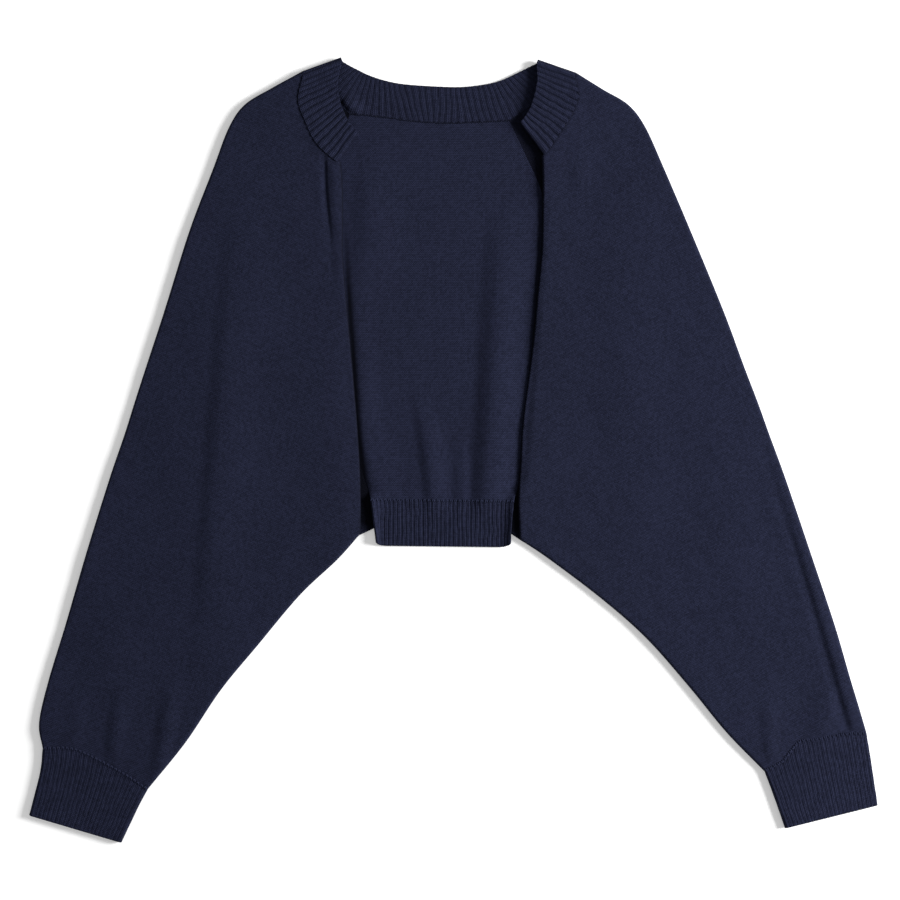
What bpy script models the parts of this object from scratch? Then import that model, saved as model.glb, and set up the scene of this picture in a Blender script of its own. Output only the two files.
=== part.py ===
"""A cropped, open-front knitted cardigan that lies on its back with its sleeves spread.

Each knitted piece is one closed wall of cloth. The two sleeves are cut in one with the fronts:
each is a sheet that starts at the seam on the back, turns round the outer fold and comes back
over the top as far as the front edge. The bands and cuffs carry raised ribs.
+X is the wearer's left, +Y runs to the neck, +Z is up. Tables are in millimetres.
"""

import math
from collections import namedtuple

import bmesh
import bpy
import numpy as np

MM = 0.001

# Driving sizes, in millimetres.
CLOTH = 2.0
BAND_PLAIN = 1.9
RIB_HEIGHT = 0.8
NECK_RIB_PITCH = 5.7
FINE_RIB_PITCH = 4.1
SEAM_GAP = 0.5
LAYER_GAP = 2.0
LEAST_GAP = 0.5
MOST_GAP = 3.8
NECK_LAYER_GAP = 3.6
CUFF_LAYER_GAP = 1.6
EDGE_CURL_END = 2.6
BAND_SEAM_LIFT = 6.6
BAND_FRONT_LIFT = 7.2
HEM_DEPTH = 44.0
HEM_LEFT_LIFT = 3.6
HEM_RIGHT_LIFT = 1.5
HEM_END_LENGTH = 14.0
HEM_END_DRAW = 2.5
HEM_CORNER_ROUND = 0.07

# How many stations the sleeve takes to leave the shape of its neck seam and of its cuff seam,
# and to change from the space between its layers there to the common one.
NECK_PULL_STATIONS = 4.0
CUFF_PULL_STATIONS = 2.0
NECK_GAP_STATIONS = 2.5
CUFF_GAP_STATIONS = 0.8

# How finely each piece is divided.
TOP_COLUMNS = 18
UNDER_COLUMNS = 4
FOLD_STEPS = 4
CURL_STEPS = 2
CORNER_STATION = 9
OPEN_STEPS = 2
CLOSED_STEPS = 3
BACK_COLUMNS = 22
BACK_ROWS = 14
BAND_ROWS = 2

NAVY = (0.016, 0.0185, 0.037, 1.0)
NAVY_BAND = (0.0145, 0.0165, 0.034, 1.0)

# A station crosses a sleeve. fold is the outline at the outer fold, edge the outline at the inner
# side of the top layer, and seam the inner edge of the under layer, down to the underarm.
Station = namedtuple("Station", "fold_x fold_y edge_x edge_y seam_x seam_y")
LEFT_STATIONS = [
    Station(-144.0, 358.0, -106.9, 272.5, -98.3, 318.5),
    Station(-172.4, 342.5, -105.0, 246.0, -109.7, 282.0),
    Station(-198.1, 326.8, -105.0, 215.6, -121.1, 246.0),
    Station(-213.3, 304.9, -105.0, 184.3, -127.8, 208.0),
    Station(-228.5, 265.1, -102.1, 146.3, -130.6, 168.2),
    Station(-250.3, 208.0, -97.4, 94.0, -130.6, 117.8),
    Station(-274.1, 132.0, -91.7, 27.5, -123.0, 54.1),
    Station(-292.1, 77.0, -88.8, -18.1, -104.0, 3.8),
    Station(-302.6, 44.6, -87.9, -48.4, -83.1, -38.9),
    Station(-312.1, 14.2, -87.9, -79.8, -75.5, -74.0),
    Station(-326.3, -27.5, -109.7, -104.5, 0.0, 0.0),
    Station(-348.2, -97.8, -145.8, -138.7, 0.0, 0.0),
    Station(-368.1, -166.2, -185.7, -186.2, 0.0, 0.0),
    Station(-384.3, -219.4, -220.9, -228.9, 0.0, 0.0),
    Station(-393.3, -259.3, -254.1, -278.3, 0.0, 0.0),
    Station(-390.0, -284.1, -290.2, -323.0, 0.0, 0.0),
]
RIGHT_STATIONS = [
    Station(116.4, 357.0, 83.1, 278.5, 52.7, 312.0),
    Station(142.0, 341.1, 84.1, 246.0, 67.0, 282.1),
    Station(165.8, 326.8, 84.1, 215.6, 83.1, 246.0),
    Station(181.9, 305.9, 83.1, 184.3, 92.6, 208.0),
    Station(200.0, 266.0, 79.3, 144.4, 98.3, 168.2),
    Station(224.7, 208.0, 74.6, 94.0, 99.3, 117.8),
    Station(256.0, 132.0, 66.0, 27.5, 93.6, 54.1),
    Station(276.4, 77.0, 63.2, -18.1, 79.3, 3.8),
    Station(288.8, 44.6, 61.3, -48.4, 66.0, -38.9),
    Station(299.7, 14.2, 62.2, -85.5, 60.8, -79.0),
    Station(314.9, -27.5, 90.7, -104.5, 0.0, 0.0),
    Station(338.7, -97.8, 142.0, -143.4, 0.0, 0.0),
    Station(361.5, -166.2, 183.8, -180.5, 0.0, 0.0),
    Station(374.8, -211.8, 224.7, -227.0, 0.0, 0.0),
    Station(384.3, -243.2, 258.9, -268.8, 0.0, 0.0),
    Station(391.9, -268.8, 295.0, -305.9, 0.0, 0.0),
]

# The seam of the neckband on each front, between the shoulder fold and the front edge.
Point = namedtuple("Point", "x y")
LEFT_NECK = [Point(-147.0, 330.6), Point(-140.1, 309.7), Point(-130.6, 290.7), Point(-117.3, 277.5)]
RIGHT_NECK = [Point(118.3, 336.3), Point(113.5, 320.1), Point(104.0, 304.0), Point(93.6, 288.5)]

# The neck edge of the back, from the left raglan seam to the right one.
BACK_NECK = [
    Point(-98.3, 318.5),
    Point(-81.2, 316.8),
    Point(-60.3, 314.5),
    Point(-41.3, 311.6),
    Point(-8.1, 309.7),
    Point(25.2, 310.6),
    Point(52.7, 312.0),
]

# How far up the cuff seam bows on the top layer, at a share of the way in from the outer fold.
Bow = namedtuple("Bow", "share rise")
LEFT_CUFF_BOW = [Bow(0.0, 0.0), Bow(0.27, 9.5), Bow(0.51, 9.0), Bow(0.8, 5.0), Bow(1.0, 0.0)]
RIGHT_CUFF_BOW = [
    Bow(0.0, 0.0),
    Bow(0.2, 6.2),
    Bow(0.5, 11.5),
    Bow(0.66, 15.0),
    Bow(0.76, 9.0),
    Bow(0.84, 2.5),
    Bow(1.0, 0.0),
]

# The free side of the neckband. share says where the section meets its seam.
BandSection = namedtuple("BandSection", "share free_x free_y")
LEFT_BAND = [
    BandSection(0.0, -105.5, 368.0),
    BandSection(0.26, -109.7, 348.6),
    BandSection(0.49, -107.9, 331.0),
    BandSection(0.68, -103.6, 319.0),
    BandSection(0.85, -98.0, 308.5),
    BandSection(1.0, -89.8, 299.3),
]
RIGHT_BAND = [
    BandSection(0.0, 78.8, 366.0),
    BandSection(0.26, 79.3, 350.0),
    BandSection(0.49, 76.6, 335.0),
    BandSection(0.68, 72.2, 322.0),
    BandSection(0.85, 67.8, 315.0),
    BandSection(1.0, 63.6, 309.5),
]
BACK_BAND = [
    BandSection(0.0, -105.5, 368.0),
    BandSection(0.06, -98.0, 363.6),
    BandSection(0.13, -90.0, 359.6),
    BandSection(0.22, -81.2, 355.3),
    BandSection(0.32, -66.5, 350.3),
    BandSection(0.42, -45.6, 346.3),
    BandSection(0.52, -8.1, 343.9),
    BandSection(0.62, 12.0, 344.0),
    BandSection(0.70, 31.4, 346.5),
    BandSection(0.79, 45.0, 350.0),
    BandSection(0.87, 58.0, 355.8),
    BandSection(0.94, 69.5, 361.5),
    BandSection(1.0, 78.8, 366.0),
]

# The cuffs: the outline down the outer and the inner side, from the seam to the free edge.
CuffRow = namedtuple("CuffRow", "outer_x outer_y inner_x inner_y")
LEFT_CUFF = [
    CuffRow(-390.2, -285.0, -290.8, -323.8),
    CuffRow(-392.6, -307.0, -299.5, -340.5),
    CuffRow(-402.8, -347.6, -315.2, -373.6),
]
RIGHT_CUFF = [
    CuffRow(392.1, -269.6, 295.4, -306.8),
    CuffRow(396.0, -292.0, 303.0, -327.0),
    CuffRow(402.8, -338.0, 314.5, -360.0),
]

HEM_LEFT = Point(-78.4, -48.0)
HEM_RIGHT = Point(57.0, -49.6)

# The back follows the raglan seams down to a station, and draws in to the hem band from a share
# of its length on.
BACK_LAST_STATION = 8.4
BACK_HEM_DRAW = 0.85

# Soft folds: a line of three points, a half width across it, and how far it rises or sinks.
Fold = namedtuple("Fold", "x1 y1 x2 y2 x3 y3 half_width height")
FOLD_END_HEIGHT = 0.35
FOLD_END_SHARE = 0.25
LEFT_FOLDS = [
    Fold(-201.9, 212.8, -224.0, 25.0, -237.0, -190.9, 44.0, 1.7),
    Fold(-162.0, 133.0, -156.3, -20.0, -143.9, -115.0, 30.0, -1.0),
    Fold(-275.0, 100.0, -305.0, -20.0, -330.0, -120.0, 34.0, -1.0),
    Fold(-299.7, -222.0, -313.0, -255.0, -322.0, -284.0, 13.0, 1.6),
    Fold(-270.0, -232.0, -280.0, -262.0, -286.0, -292.0, 11.0, -1.3),
    Fold(-345.0, -215.0, -356.0, -245.0, -362.0, -272.0, 15.0, 1.3),
    Fold(-132.0, 270.0, -128.0, 240.0, -126.0, 190.0, 14.0, -1.2),
    Fold(-112.0, 255.0, -112.0, 220.0, -110.0, 170.0, 9.0, 1.4),
]
RIGHT_FOLDS = [
    Fold(167.7, 293.6, 171.5, 120.0, 184.0, -110.0, 42.0, 1.6),
    Fold(110.0, 250.0, 112.0, 120.0, 112.0, 0.0, 26.0, -0.7),
    Fold(290.0, 0.0, 332.0, -118.0, 372.0, -240.0, 13.0, -1.3),
    Fold(250.0, 60.0, 285.0, -60.0, 322.0, -170.0, 34.0, 1.1),
    Fold(336.8, -220.0, 334.0, -242.0, 331.0, -262.0, 11.0, -1.4),
    Fold(310.0, -225.0, 307.0, -255.0, 305.0, -285.0, 13.0, 1.6),
    Fold(80.0, 170.0, 76.0, 60.0, 68.0, -40.0, 16.0, 1.5),
]
BACK_FOLDS = [
    Fold(42.0, 182.0, 41.0, 65.5, 33.7, -52.0, 15.0, 1.6),
    Fold(-65.0, 30.0, -65.0, -10.0, -65.0, -52.0, 12.0, 1.2),
    Fold(-30.0, 24.0, -26.0, -12.0, -22.0, -52.0, 10.0, 1.4),
]


def unit(vector):
    return vector / np.linalg.norm(vector)


def between(start, end, shares):
    """Points at the given shares of the straight way from start to end."""
    return np.outer(1 - np.array(shares), start) + np.outer(shares, end)


def on_curve(rows, place):
    """The point of a smooth curve through the rows; place counts the rows from the first."""
    last = len(rows) - 1
    start = int(min(max(place, 0), last - 1))
    u = place - start
    here, there = rows[start], rows[start + 1]
    before = rows[start - 1] if start > 0 else 2 * here - there
    after = rows[start + 2] if start + 2 <= last else 2 * there - here
    slope = (there - before) * u
    bend = (2 * before - 5 * here + 4 * there - after) * u**2
    turn = (3 * here - before - 3 * there + after) * u**3
    return 0.5 * (2 * here + slope + bend + turn)


def smooth(rows, fine=12):
    """The smooth curve through the rows, as many more rows."""
    rows = np.array(rows, float)
    return np.array([on_curve(rows, step / fine) for step in range((len(rows) - 1) * fine + 1)])


def path_lengths(path):
    """The length of a path up to each of its points."""
    return np.concatenate([[0], np.cumsum(np.linalg.norm(np.diff(path, axis=0), axis=1))])


def spread(path, shares):
    """Points at the given shares of the length of a path."""
    lengths = path_lengths(path)
    wanted = np.array(shares) * lengths[-1]
    return np.stack([np.interp(wanted, lengths, column) for column in path.T], axis=1)


def along(rows, shares):
    """Points at the given shares of the length of the smooth curve through the rows."""
    return spread(smooth(rows), shares)


def nearest_on(line, place):
    """How far a place is from a line of points, and at what share of the line it is nearest."""
    found = []
    for number, (here, there) in enumerate(zip(line[:-1], line[1:])):
        run = there - here
        part = np.clip(np.dot(place - here, run) / np.dot(run, run), 0, 1)
        found.append((np.linalg.norm(place - here - part * run), (number + part) / (len(line) - 1)))
    return min(found)


def relief(folds, place):
    """How far the folds of a table lift the cloth over a place. A fold is lower at its ends."""
    total = 0.0
    for fold in folds:
        line = np.array(fold[:6]).reshape(3, 2)
        distance, share = nearest_on(line, place)
        if distance < fold.half_width:
            across = math.cos(0.5 * math.pi * distance / fold.half_width) ** 2
            from_end = min(share, 1 - share)
            total += fold.height * across * min(1.0, FOLD_END_HEIGHT + from_end / FOLD_END_SHARE)
    return total


def material(name, colour):
    finish = bpy.data.materials.new(name)
    finish.use_nodes = True
    shader = finish.node_tree.nodes["Principled BSDF"]
    shader.inputs["Base Color"].default_value = colour
    shader.inputs["Roughness"].default_value = 0.9
    shader.inputs["Metallic"].default_value = 0.0
    return finish


def add_object(name, bm, colour):
    mesh = bpy.data.meshes.new(name)
    bm.to_mesh(mesh)
    bm.free()
    mesh.shade_smooth()
    mesh.materials.append(material(name, colour))
    piece = bpy.data.objects.new(name, mesh)
    bpy.data.collections["cardigan"].objects.link(piece)
    return piece


def cloth_sheet(name, rows, joined_from=None):
    """A sheet of cloth through rows of points. Past joined_from its two sides meet in a tube."""
    width = len(rows[0])
    bm = bmesh.new()
    bmesh.ops.create_grid(bm, x_segments=width - 1, y_segments=len(rows) - 1, size=1)
    bm.verts.ensure_lookup_table()
    for vertex, point in zip(bm.verts, (point for row in rows for point in row)):
        vertex.co = point * MM
    if joined_from is not None:
        firsts = [bm.verts[row * width] for row in range(joined_from, len(rows))]
        lasts = [bm.verts[row * width + width - 1] for row in range(joined_from, len(rows))]
        bmesh.ops.remove_doubles(bm, verts=firsts + lasts, dist=0.01 * MM)
    sheet = add_object(name, bm, NAVY)
    wall = sheet.modifiers.new("wall", "SOLIDIFY")
    wall.thickness = CLOTH * MM
    wall.offset = 0.0
    wall.use_even_offset = True
    return sheet


def ribbed_wall(name, shown, hidden, ring):
    """A band between a ribbed face and a plain one. A ring closes on itself, a strip has two ends."""
    bm = bmesh.new()
    count, deep = len(shown), len(shown[0])
    # Each column is a loop: down the ribbed face and back up the plain one.
    loops = []
    for ribbed, plain in zip(shown, hidden):
        loops.append([bm.verts.new(point * MM) for point in [*ribbed, *plain[::-1]]])
    for here in range(count if ring else count - 1):
        first, second = loops[here], loops[(here + 1) % count]
        for row in range(2 * deep):
            after = (row + 1) % (2 * deep)
            bm.faces.new([first[row], second[row], second[after], first[after]])
    for end in [] if ring else [loops[0], loops[-1]]:
        for row in range(deep - 1):
            bm.faces.new([end[row], end[row + 1], end[-2 - row], end[-1 - row]])
    bmesh.ops.recalc_face_normals(bm, faces=bm.faces)
    return add_object(name, bm, NAVY_BAND)


class Sleeve:
    """Works out the places of a sleeve and its front from their tables."""

    def __init__(self, stations, neck, bow, folds):
        table = np.array(stations, float)
        self.fold = table[:, 0:2]
        self.edge_open = table[: CORNER_STATION + 1, 2:4]
        self.edge_closed = table[CORNER_STATION:, 2:4]
        self.seam = table[: CORNER_STATION + 1, 4:6]
        self.last = len(stations) - 1
        self.neck = neck
        self.bow = bow
        self.folds = folds

    def edge(self, station):
        if station <= CORNER_STATION:
            return on_curve(self.edge_open, station)
        return on_curve(self.edge_closed, station - CORNER_STATION)

    def inward(self, rail, station, towards):
        """The direction square to a rail, on the side of another point."""
        reach = 0.4
        run = rail(min(station + reach, self.last)) - rail(max(station - reach, 0))
        square = unit(np.array([-run[1], run[0]]))
        return square if np.dot(square, towards - rail(station)) > 0 else -square

    def layer_gap(self, station, place):
        """The space between the layers: wider at the neck, tight at the cuff, with the folds."""
        neck = max(0.0, 1 - station / NECK_GAP_STATIONS)
        cuff = max(0.0, 1 - (self.last - station) / CUFF_GAP_STATIONS)
        gap = LAYER_GAP + relief(self.folds, place)
        gap = gap * (1 - neck) + NECK_LAYER_GAP * neck
        gap = gap * (1 - cuff) + CUFF_LAYER_GAP * cuff
        return min(max(gap, LEAST_GAP), MOST_GAP)

    def top(self, station, place):
        return 1.5 * CLOTH + self.layer_gap(station, place)

    def corners(self, station):
        """Where the flat part of the top layer starts and ends, and the radii of its two turns."""
        fold, edge = on_curve(self.fold, station), self.edge(station)
        from_fold = self.inward(lambda place: on_curve(self.fold, place), station, edge)
        from_edge = self.inward(self.edge, station, fold)
        fold_radius = (self.top(station, fold + LAYER_GAP * 2 * from_fold) - CLOTH / 2) / 2
        edge_top = self.top(station, edge + LAYER_GAP * 2 * from_edge)
        if station <= CORNER_STATION:
            edge_radius = edge_top - EDGE_CURL_END
        else:
            edge_radius = (edge_top - CLOTH / 2) / 2
        start = fold + (CLOTH / 2 + fold_radius) * from_fold
        end = edge + (CLOTH / 2 + edge_radius) * from_edge
        return start, end, fold_radius, edge_radius, from_fold, from_edge

    def neck_seam(self, shares):
        start, end = self.corners(0)[:2]
        return along([start, *self.neck, end], shares)

    def cuff_seam(self, shares):
        """The seam of the cuff on the top layer, from the outer fold to the inner side."""
        start, end = self.corners(self.last)[:2]
        rise = np.interp(shares, [bow.share for bow in self.bow], [bow.rise for bow in self.bow])
        return between(start, end, shares) + np.stack([0 * rise, rise], axis=1)

    def row(self, station):
        """One row of the sheet: curled edge, top layer, outer fold, under layer."""
        start, end, fold_radius, edge_radius, from_fold, from_edge = self.corners(station)
        shares = np.linspace(1, 0, TOP_COLUMNS + 1)
        flat = between(start, end, shares)
        neck_pull = max(0.0, 1 - station / NECK_PULL_STATIONS) ** 2
        flat += neck_pull * (self.neck_seam(shares) - between(*self.corners(0)[:2], shares))
        cuff_pull = max(0.0, 1 - (self.last - station) / CUFF_PULL_STATIONS) ** 2
        flat += cuff_pull * (self.cuff_seam(shares) - between(*self.corners(self.last)[:2], shares))
        upper = [np.array([x, y, self.top(station, np.array([x, y]))]) for x, y in flat]
        points = []
        for step in range(CURL_STEPS, 0, -1):
            turn = 0.5 * math.pi * step / CURL_STEPS
            place = end - math.sin(turn) * edge_radius * from_edge
            points.append(np.array([*place, upper[0][2] - edge_radius * (1 - math.cos(turn))]))
        points += upper
        for step in range(1, FOLD_STEPS):
            turn = math.pi * step / FOLD_STEPS
            place = start - math.sin(turn) * fold_radius * from_fold
            points.append(np.array([*place, upper[-1][2] - fold_radius * (1 - math.cos(turn))]))
        points += self.under_row(station, start, end, edge_radius, from_edge, points[0])
        return points

    def under_row(self, station, start, end, edge_radius, from_edge, tip):
        """The under layer lies flat, to the seam of the back or round into the underarm."""
        if station <= CORNER_STATION:
            seam = on_curve(self.seam, station)
            back = unit(start - seam)
            last = [seam + CLOTH * step * back for step in (2, 1, 0)]
            ends = [np.array([*place, CLOTH / 2]) for place in last]
        else:
            half = math.sqrt(0.5) * edge_radius
            ends = [
                np.array([*end, CLOTH / 2]),
                np.array([*(end - half * from_edge), CLOTH / 2 + edge_radius - half]),
                tip,
            ]
        first = np.array([*start, CLOTH / 2])
        return list(between(first, ends[0], np.arange(UNDER_COLUMNS) / UNDER_COLUMNS)) + ends


def sleeve_rows(sleeve):
    """The rows from neck to cuff. The underarm closes in the first row past the front's corner."""
    open_rows = OPEN_STEPS * CORNER_STATION + 1
    closed_rows = CLOSED_STEPS * (sleeve.last - CORNER_STATION)
    stations = [step / OPEN_STEPS for step in range(open_rows)]
    stations += [CORNER_STATION + (step + 1) / CLOSED_STEPS for step in range(closed_rows)]
    return [sleeve.row(station) for station in stations], open_rows


def make_sleeve(name, sleeve):
    rows, joined_from = sleeve_rows(sleeve)
    return cloth_sheet(name, rows, joined_from)


def make_back(left, right):
    """The back lies flat between the raglan seams, the neckband and the hem band."""
    shares = np.linspace(0, 1, BACK_COLUMNS + 1)
    insets = np.stack([SEAM_GAP * (1 - 2 * shares), 0 * shares], axis=1)
    neck_bend = along(BACK_NECK, shares) - between(left.seam[0], right.seam[0], shares)
    neck_bend[:, 1] -= SEAM_GAP
    hem = between(np.array(HEM_LEFT), np.array(HEM_RIGHT), [0, 1]) + np.array([0, SEAM_GAP])
    rows = []
    for down in np.linspace(0, 1, BACK_ROWS + 1):
        sides = [on_curve(sleeve.seam, down * BACK_LAST_STATION) for sleeve in (left, right)]
        to_hem = max(0.0, (down - BACK_HEM_DRAW) / (1 - BACK_HEM_DRAW))
        start, end = np.array(sides) * (1 - to_hem) + hem * to_hem
        flat = between(start, end, shares) + insets + max(0.0, 1 - 2 * down) * neck_bend
        rows.append([np.array([*place, CLOTH / 2 + relief(BACK_FOLDS, place)]) for place in flat])
    return cloth_sheet("back_panel", rows)


def band_section(seam, free, seam_z, free_z):
    """A section across the neckband, just clear of the cloth that it is linked to."""
    place = seam + SEAM_GAP * unit(free - seam)
    return np.array([*place, seam_z, *free, free_z])


def band_sections(sleeve, table):
    """The sections of the neckband on one front, from the shoulder fold to its free end."""
    rows = smooth(table)
    seam = sleeve.neck_seam(rows[:, 0])
    return [band_section(place, row[1:3], BAND_SEAM_LIFT, BAND_FRONT_LIFT) for place, row in zip(seam, rows)]


def back_band_sections(left, right):
    """The sections of the neckband on the back, which lies flat, from left to right."""
    rows = smooth(BACK_BAND)
    edge = np.vstack([left.corners(0)[0], smooth(BACK_NECK), right.corners(0)[0]])
    low = BAND_PLAIN / 2
    return [band_section(place, row[1:3], low, low) for place, row in zip(spread(edge, rows[:, 0]), rows)]


def shoulder_turn(top, under):
    """Sections round the fold of the neckband at a shoulder, between two that lie on each other."""
    sections = []
    middle = 0.5 * (top + under)
    run = unit(middle[3:5] - middle[0:2])
    out = np.array([-run[1], run[0]])
    out = out if out[1] > 0 else -out
    for step in range(1, FOLD_STEPS):
        turn = math.pi * step / FOLD_STEPS
        section = middle.copy()
        for start in (0, 3):
            radius = (top[start + 2] - under[start + 2]) / 2
            section[start : start + 2] += math.sin(turn) * radius * out
            section[start + 2] += math.cos(turn) * radius
        sections.append(section)
    return sections


def make_neckband(left, right):
    """One ribbon with raised ribs: over the left front, under the back of the neck, over the right."""
    on_left, on_back = band_sections(left, LEFT_BAND), back_band_sections(left, right)
    on_right = band_sections(right, RIGHT_BAND)
    left_turn = shoulder_turn(on_left[0], on_back[0])
    right_turn = shoulder_turn(on_right[0], on_back[-1])[::-1]
    sections = on_left[::-1] + left_turn + on_back + right_turn + on_right
    turned = len(left_turn) - 1
    outside_shows = [1.0] * (len(on_left) + turned) + [0.0] * (len(on_back) + 2)
    outside_shows += [1.0] * (len(on_right) + turned)
    table = np.array([np.append(section, side) for section, side in zip(sections, outside_shows)])
    middle = 0.5 * (table[:, 0:3] + table[:, 3:6])
    lengths = path_lengths(middle)
    ribs = round(lengths[-1] / NECK_RIB_PITCH)
    wanted = np.linspace(0, lengths[-1], 2 * ribs + 1)
    columns = np.stack([np.interp(wanted, lengths, column) for column in table.T], axis=1)
    shown, hidden = [], []
    for number, column in enumerate(columns):
        before, after = columns[max(number - 1, 0)], columns[min(number + 1, 2 * ribs)]
        run = 0.5 * (after[0:3] + after[3:6] - before[0:3] - before[3:6])
        square = unit(np.cross(column[3:6] - column[0:3], run))
        rib = RIB_HEIGHT * (number % 2)
        out = BAND_PLAIN / 2 + rib * column[6]
        back = BAND_PLAIN / 2 + rib * (1 - column[6])
        across = between(column[0:3], column[3:6], np.linspace(0, 1, BAND_ROWS + 1))
        shown.append([point + out * square for point in across])
        hidden.append([point - back * square for point in across])
    return ribbed_wall("neckband", shown, hidden, ring=False)


def make_hem_band():
    """A flat strip with upright ribs. Its two ends curl up off the surface, most at the left."""
    width = HEM_RIGHT.x - HEM_LEFT.x
    ribs = round(width / FINE_RIB_PITCH)
    shown, hidden = [], []
    for number in range(2 * ribs + 1):
        share = number / (2 * ribs)
        x, y = between(np.array(HEM_LEFT), np.array(HEM_RIGHT), [share])[0]
        curl = max(0.0, 1 - min(share, 1 - share) * width / HEM_END_LENGTH) ** 2
        on_left = share < 0.5
        lift = curl * (HEM_LEFT_LIFT if on_left else HEM_RIGHT_LIFT)
        draw = curl * (HEM_END_DRAW if on_left else -HEM_END_DRAW)
        top = lift + BAND_PLAIN + RIB_HEIGHT * (number % 2)
        face, back = [], []
        for down in np.linspace(0, 1, BAND_ROWS + 1):
            place = x + draw * down, y - HEM_DEPTH * down * (1 - HEM_CORNER_ROUND * curl)
            face.append(np.array([*place, top]))
            back.append(np.array([*place, lift]))
        shown.append(face)
        hidden.append(back)
    return ribbed_wall("hem_band", shown, hidden, ring=False)


def cuff_columns(ribs):
    """Share of the way in, turn and rib of each column: 0 is the top, pi the under layer."""
    turns = [math.pi * step / FOLD_STEPS for step in range(1, FOLD_STEPS)]
    top = [(number / (2 * ribs), 0.0, RIB_HEIGHT * (number % 2)) for number in range(2 * ribs + 1)]
    inner_side = [(1.0, turn, 0.0) for turn in turns]
    under = [(share, math.pi, 0.0) for share in np.linspace(1, 0, 2 * UNDER_COLUMNS + 1)]
    outer_side = [(0.0, turn, 0.0) for turn in turns[::-1]]
    return top + inner_side + under + outer_side


def make_cuff(name, sleeve, table):
    """A flattened ribbed ring: the top layer, the inner turn, the under layer, the outer turn."""
    table = np.array(table, float)
    downs = np.linspace(0, 1, BAND_ROWS + 1)
    outer, inner = along(table[:, 0:2], downs), along(table[:, 2:4], downs)
    half = BAND_PLAIN / 2
    radius = half + CUFF_LAYER_GAP / 2
    ribs = round(np.linalg.norm(outer[0] - inner[0]) / FINE_RIB_PITCH)
    shown, hidden = [], []
    for share, turn, rib in cuff_columns(ribs):
        rise = np.interp(share, [bow.share for bow in sleeve.bow], [bow.rise for bow in sleeve.bow])
        face, back = [], []
        for row in range(BAND_ROWS + 1):
            across = unit(inner[row] - outer[row])
            inset = (half + radius) * across
            x, y = between(outer[row] + inset, inner[row] - inset, [share])[0]
            y += rise if row == 0 and turn == 0 else 0.0
            side = -across if share == 0 else across
            out = np.array([*(math.sin(turn) * side), math.cos(turn)])
            middle = np.array([x, y, half + radius])
            face.append(middle + (radius + half + rib) * out)
            back.append(middle + (radius - half) * out)
        shown.append(face)
        hidden.append(back)
    return ribbed_wall(name, shown, hidden, ring=True)


def clear_scene():
    for old in list(bpy.data.objects):
        bpy.data.objects.remove(old, do_unlink=True)
    collection = bpy.data.collections.new("cardigan")
    bpy.context.scene.collection.children.link(collection)


def main():
    clear_scene()
    left = Sleeve(LEFT_STATIONS, LEFT_NECK, LEFT_CUFF_BOW, LEFT_FOLDS)
    right = Sleeve(RIGHT_STATIONS, RIGHT_NECK, RIGHT_CUFF_BOW, RIGHT_FOLDS)
    make_sleeve("left_sleeve", left)
    make_sleeve("right_sleeve", right)
    make_back(left, right)
    make_neckband(left, right)
    make_hem_band()
    make_cuff("left_cuff", left, LEFT_CUFF)
    make_cuff("right_cuff", right, RIGHT_CUFF)


main()
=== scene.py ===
# %% [markdown]
# # A cropped open-front cardigan, laid flat
# The garment lies on its back with its sleeves spread, and we look straight down at it.
# It has seven knitted pieces: the back, two sleeves cut in one with the fronts, a neckband, a hem
# band and two cuffs. Every one of them is a thin sheet of cloth, so every one is made the same way:
# we work out a grid of points from a few sizes, let Geometry Nodes raise the ribs or set the
# stitches, give the sheet a wall with Solidify, and finish it with a knitted material.
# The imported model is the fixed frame, and everything here is in its coordinates. Sizes are in
# millimetres, but those of the camera, the yarn, the flat cut, the floor and the light are in metres.

# %% Imports and the fixed frame
import math
from collections import namedtuple

import bmesh
import bpy
import numpy as np
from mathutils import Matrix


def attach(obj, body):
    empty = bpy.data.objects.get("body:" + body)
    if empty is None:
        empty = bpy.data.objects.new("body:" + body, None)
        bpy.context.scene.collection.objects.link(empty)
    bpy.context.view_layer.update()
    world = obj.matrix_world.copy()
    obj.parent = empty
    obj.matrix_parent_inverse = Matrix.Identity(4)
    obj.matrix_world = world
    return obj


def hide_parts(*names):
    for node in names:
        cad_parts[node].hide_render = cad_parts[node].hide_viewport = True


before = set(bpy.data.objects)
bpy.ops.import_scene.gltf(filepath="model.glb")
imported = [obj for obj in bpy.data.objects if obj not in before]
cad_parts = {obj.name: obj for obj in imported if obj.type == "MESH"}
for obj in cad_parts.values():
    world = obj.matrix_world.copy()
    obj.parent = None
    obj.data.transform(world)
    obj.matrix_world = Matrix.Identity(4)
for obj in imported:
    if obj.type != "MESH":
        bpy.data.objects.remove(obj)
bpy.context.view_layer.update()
MM = 0.001
print("solids in the frame:", sorted(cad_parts))

# %% [markdown]
# ## Camera
# A flat garment is photographed from straight above, from far enough away that the near and far
# layers keep their size. An 85 mm lens two metres up does that. The picture is square.

# %% Camera, placed in metres
CAMERA_PLACE = (-0.0033, -0.00095, 2.02)
LENS = 85.0
SENSOR = 36.0


def add_object(name, data):
    """A new object of the scene, with the mesh, lens or lamp that it is given."""
    thing = bpy.data.objects.new(name, data)
    bpy.context.scene.collection.objects.link(thing)
    return thing


def make_camera():
    lens = bpy.data.cameras.new("overhead_camera")
    lens.lens = LENS
    lens.sensor_width = SENSOR
    camera = add_object("overhead_camera", lens)
    camera.location = CAMERA_PLACE
    bpy.context.scene.camera = camera


make_camera()

# %% [markdown]
# ## Expressions on sockets
# Materials and Geometry Nodes are both full of small sums. Wiring each Math node by hand hides the
# sum, so a small class wraps a socket and lets Python's own operators add the nodes. One more class
# adds any other node: first its settings, then the values or links of its sockets.


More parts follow.
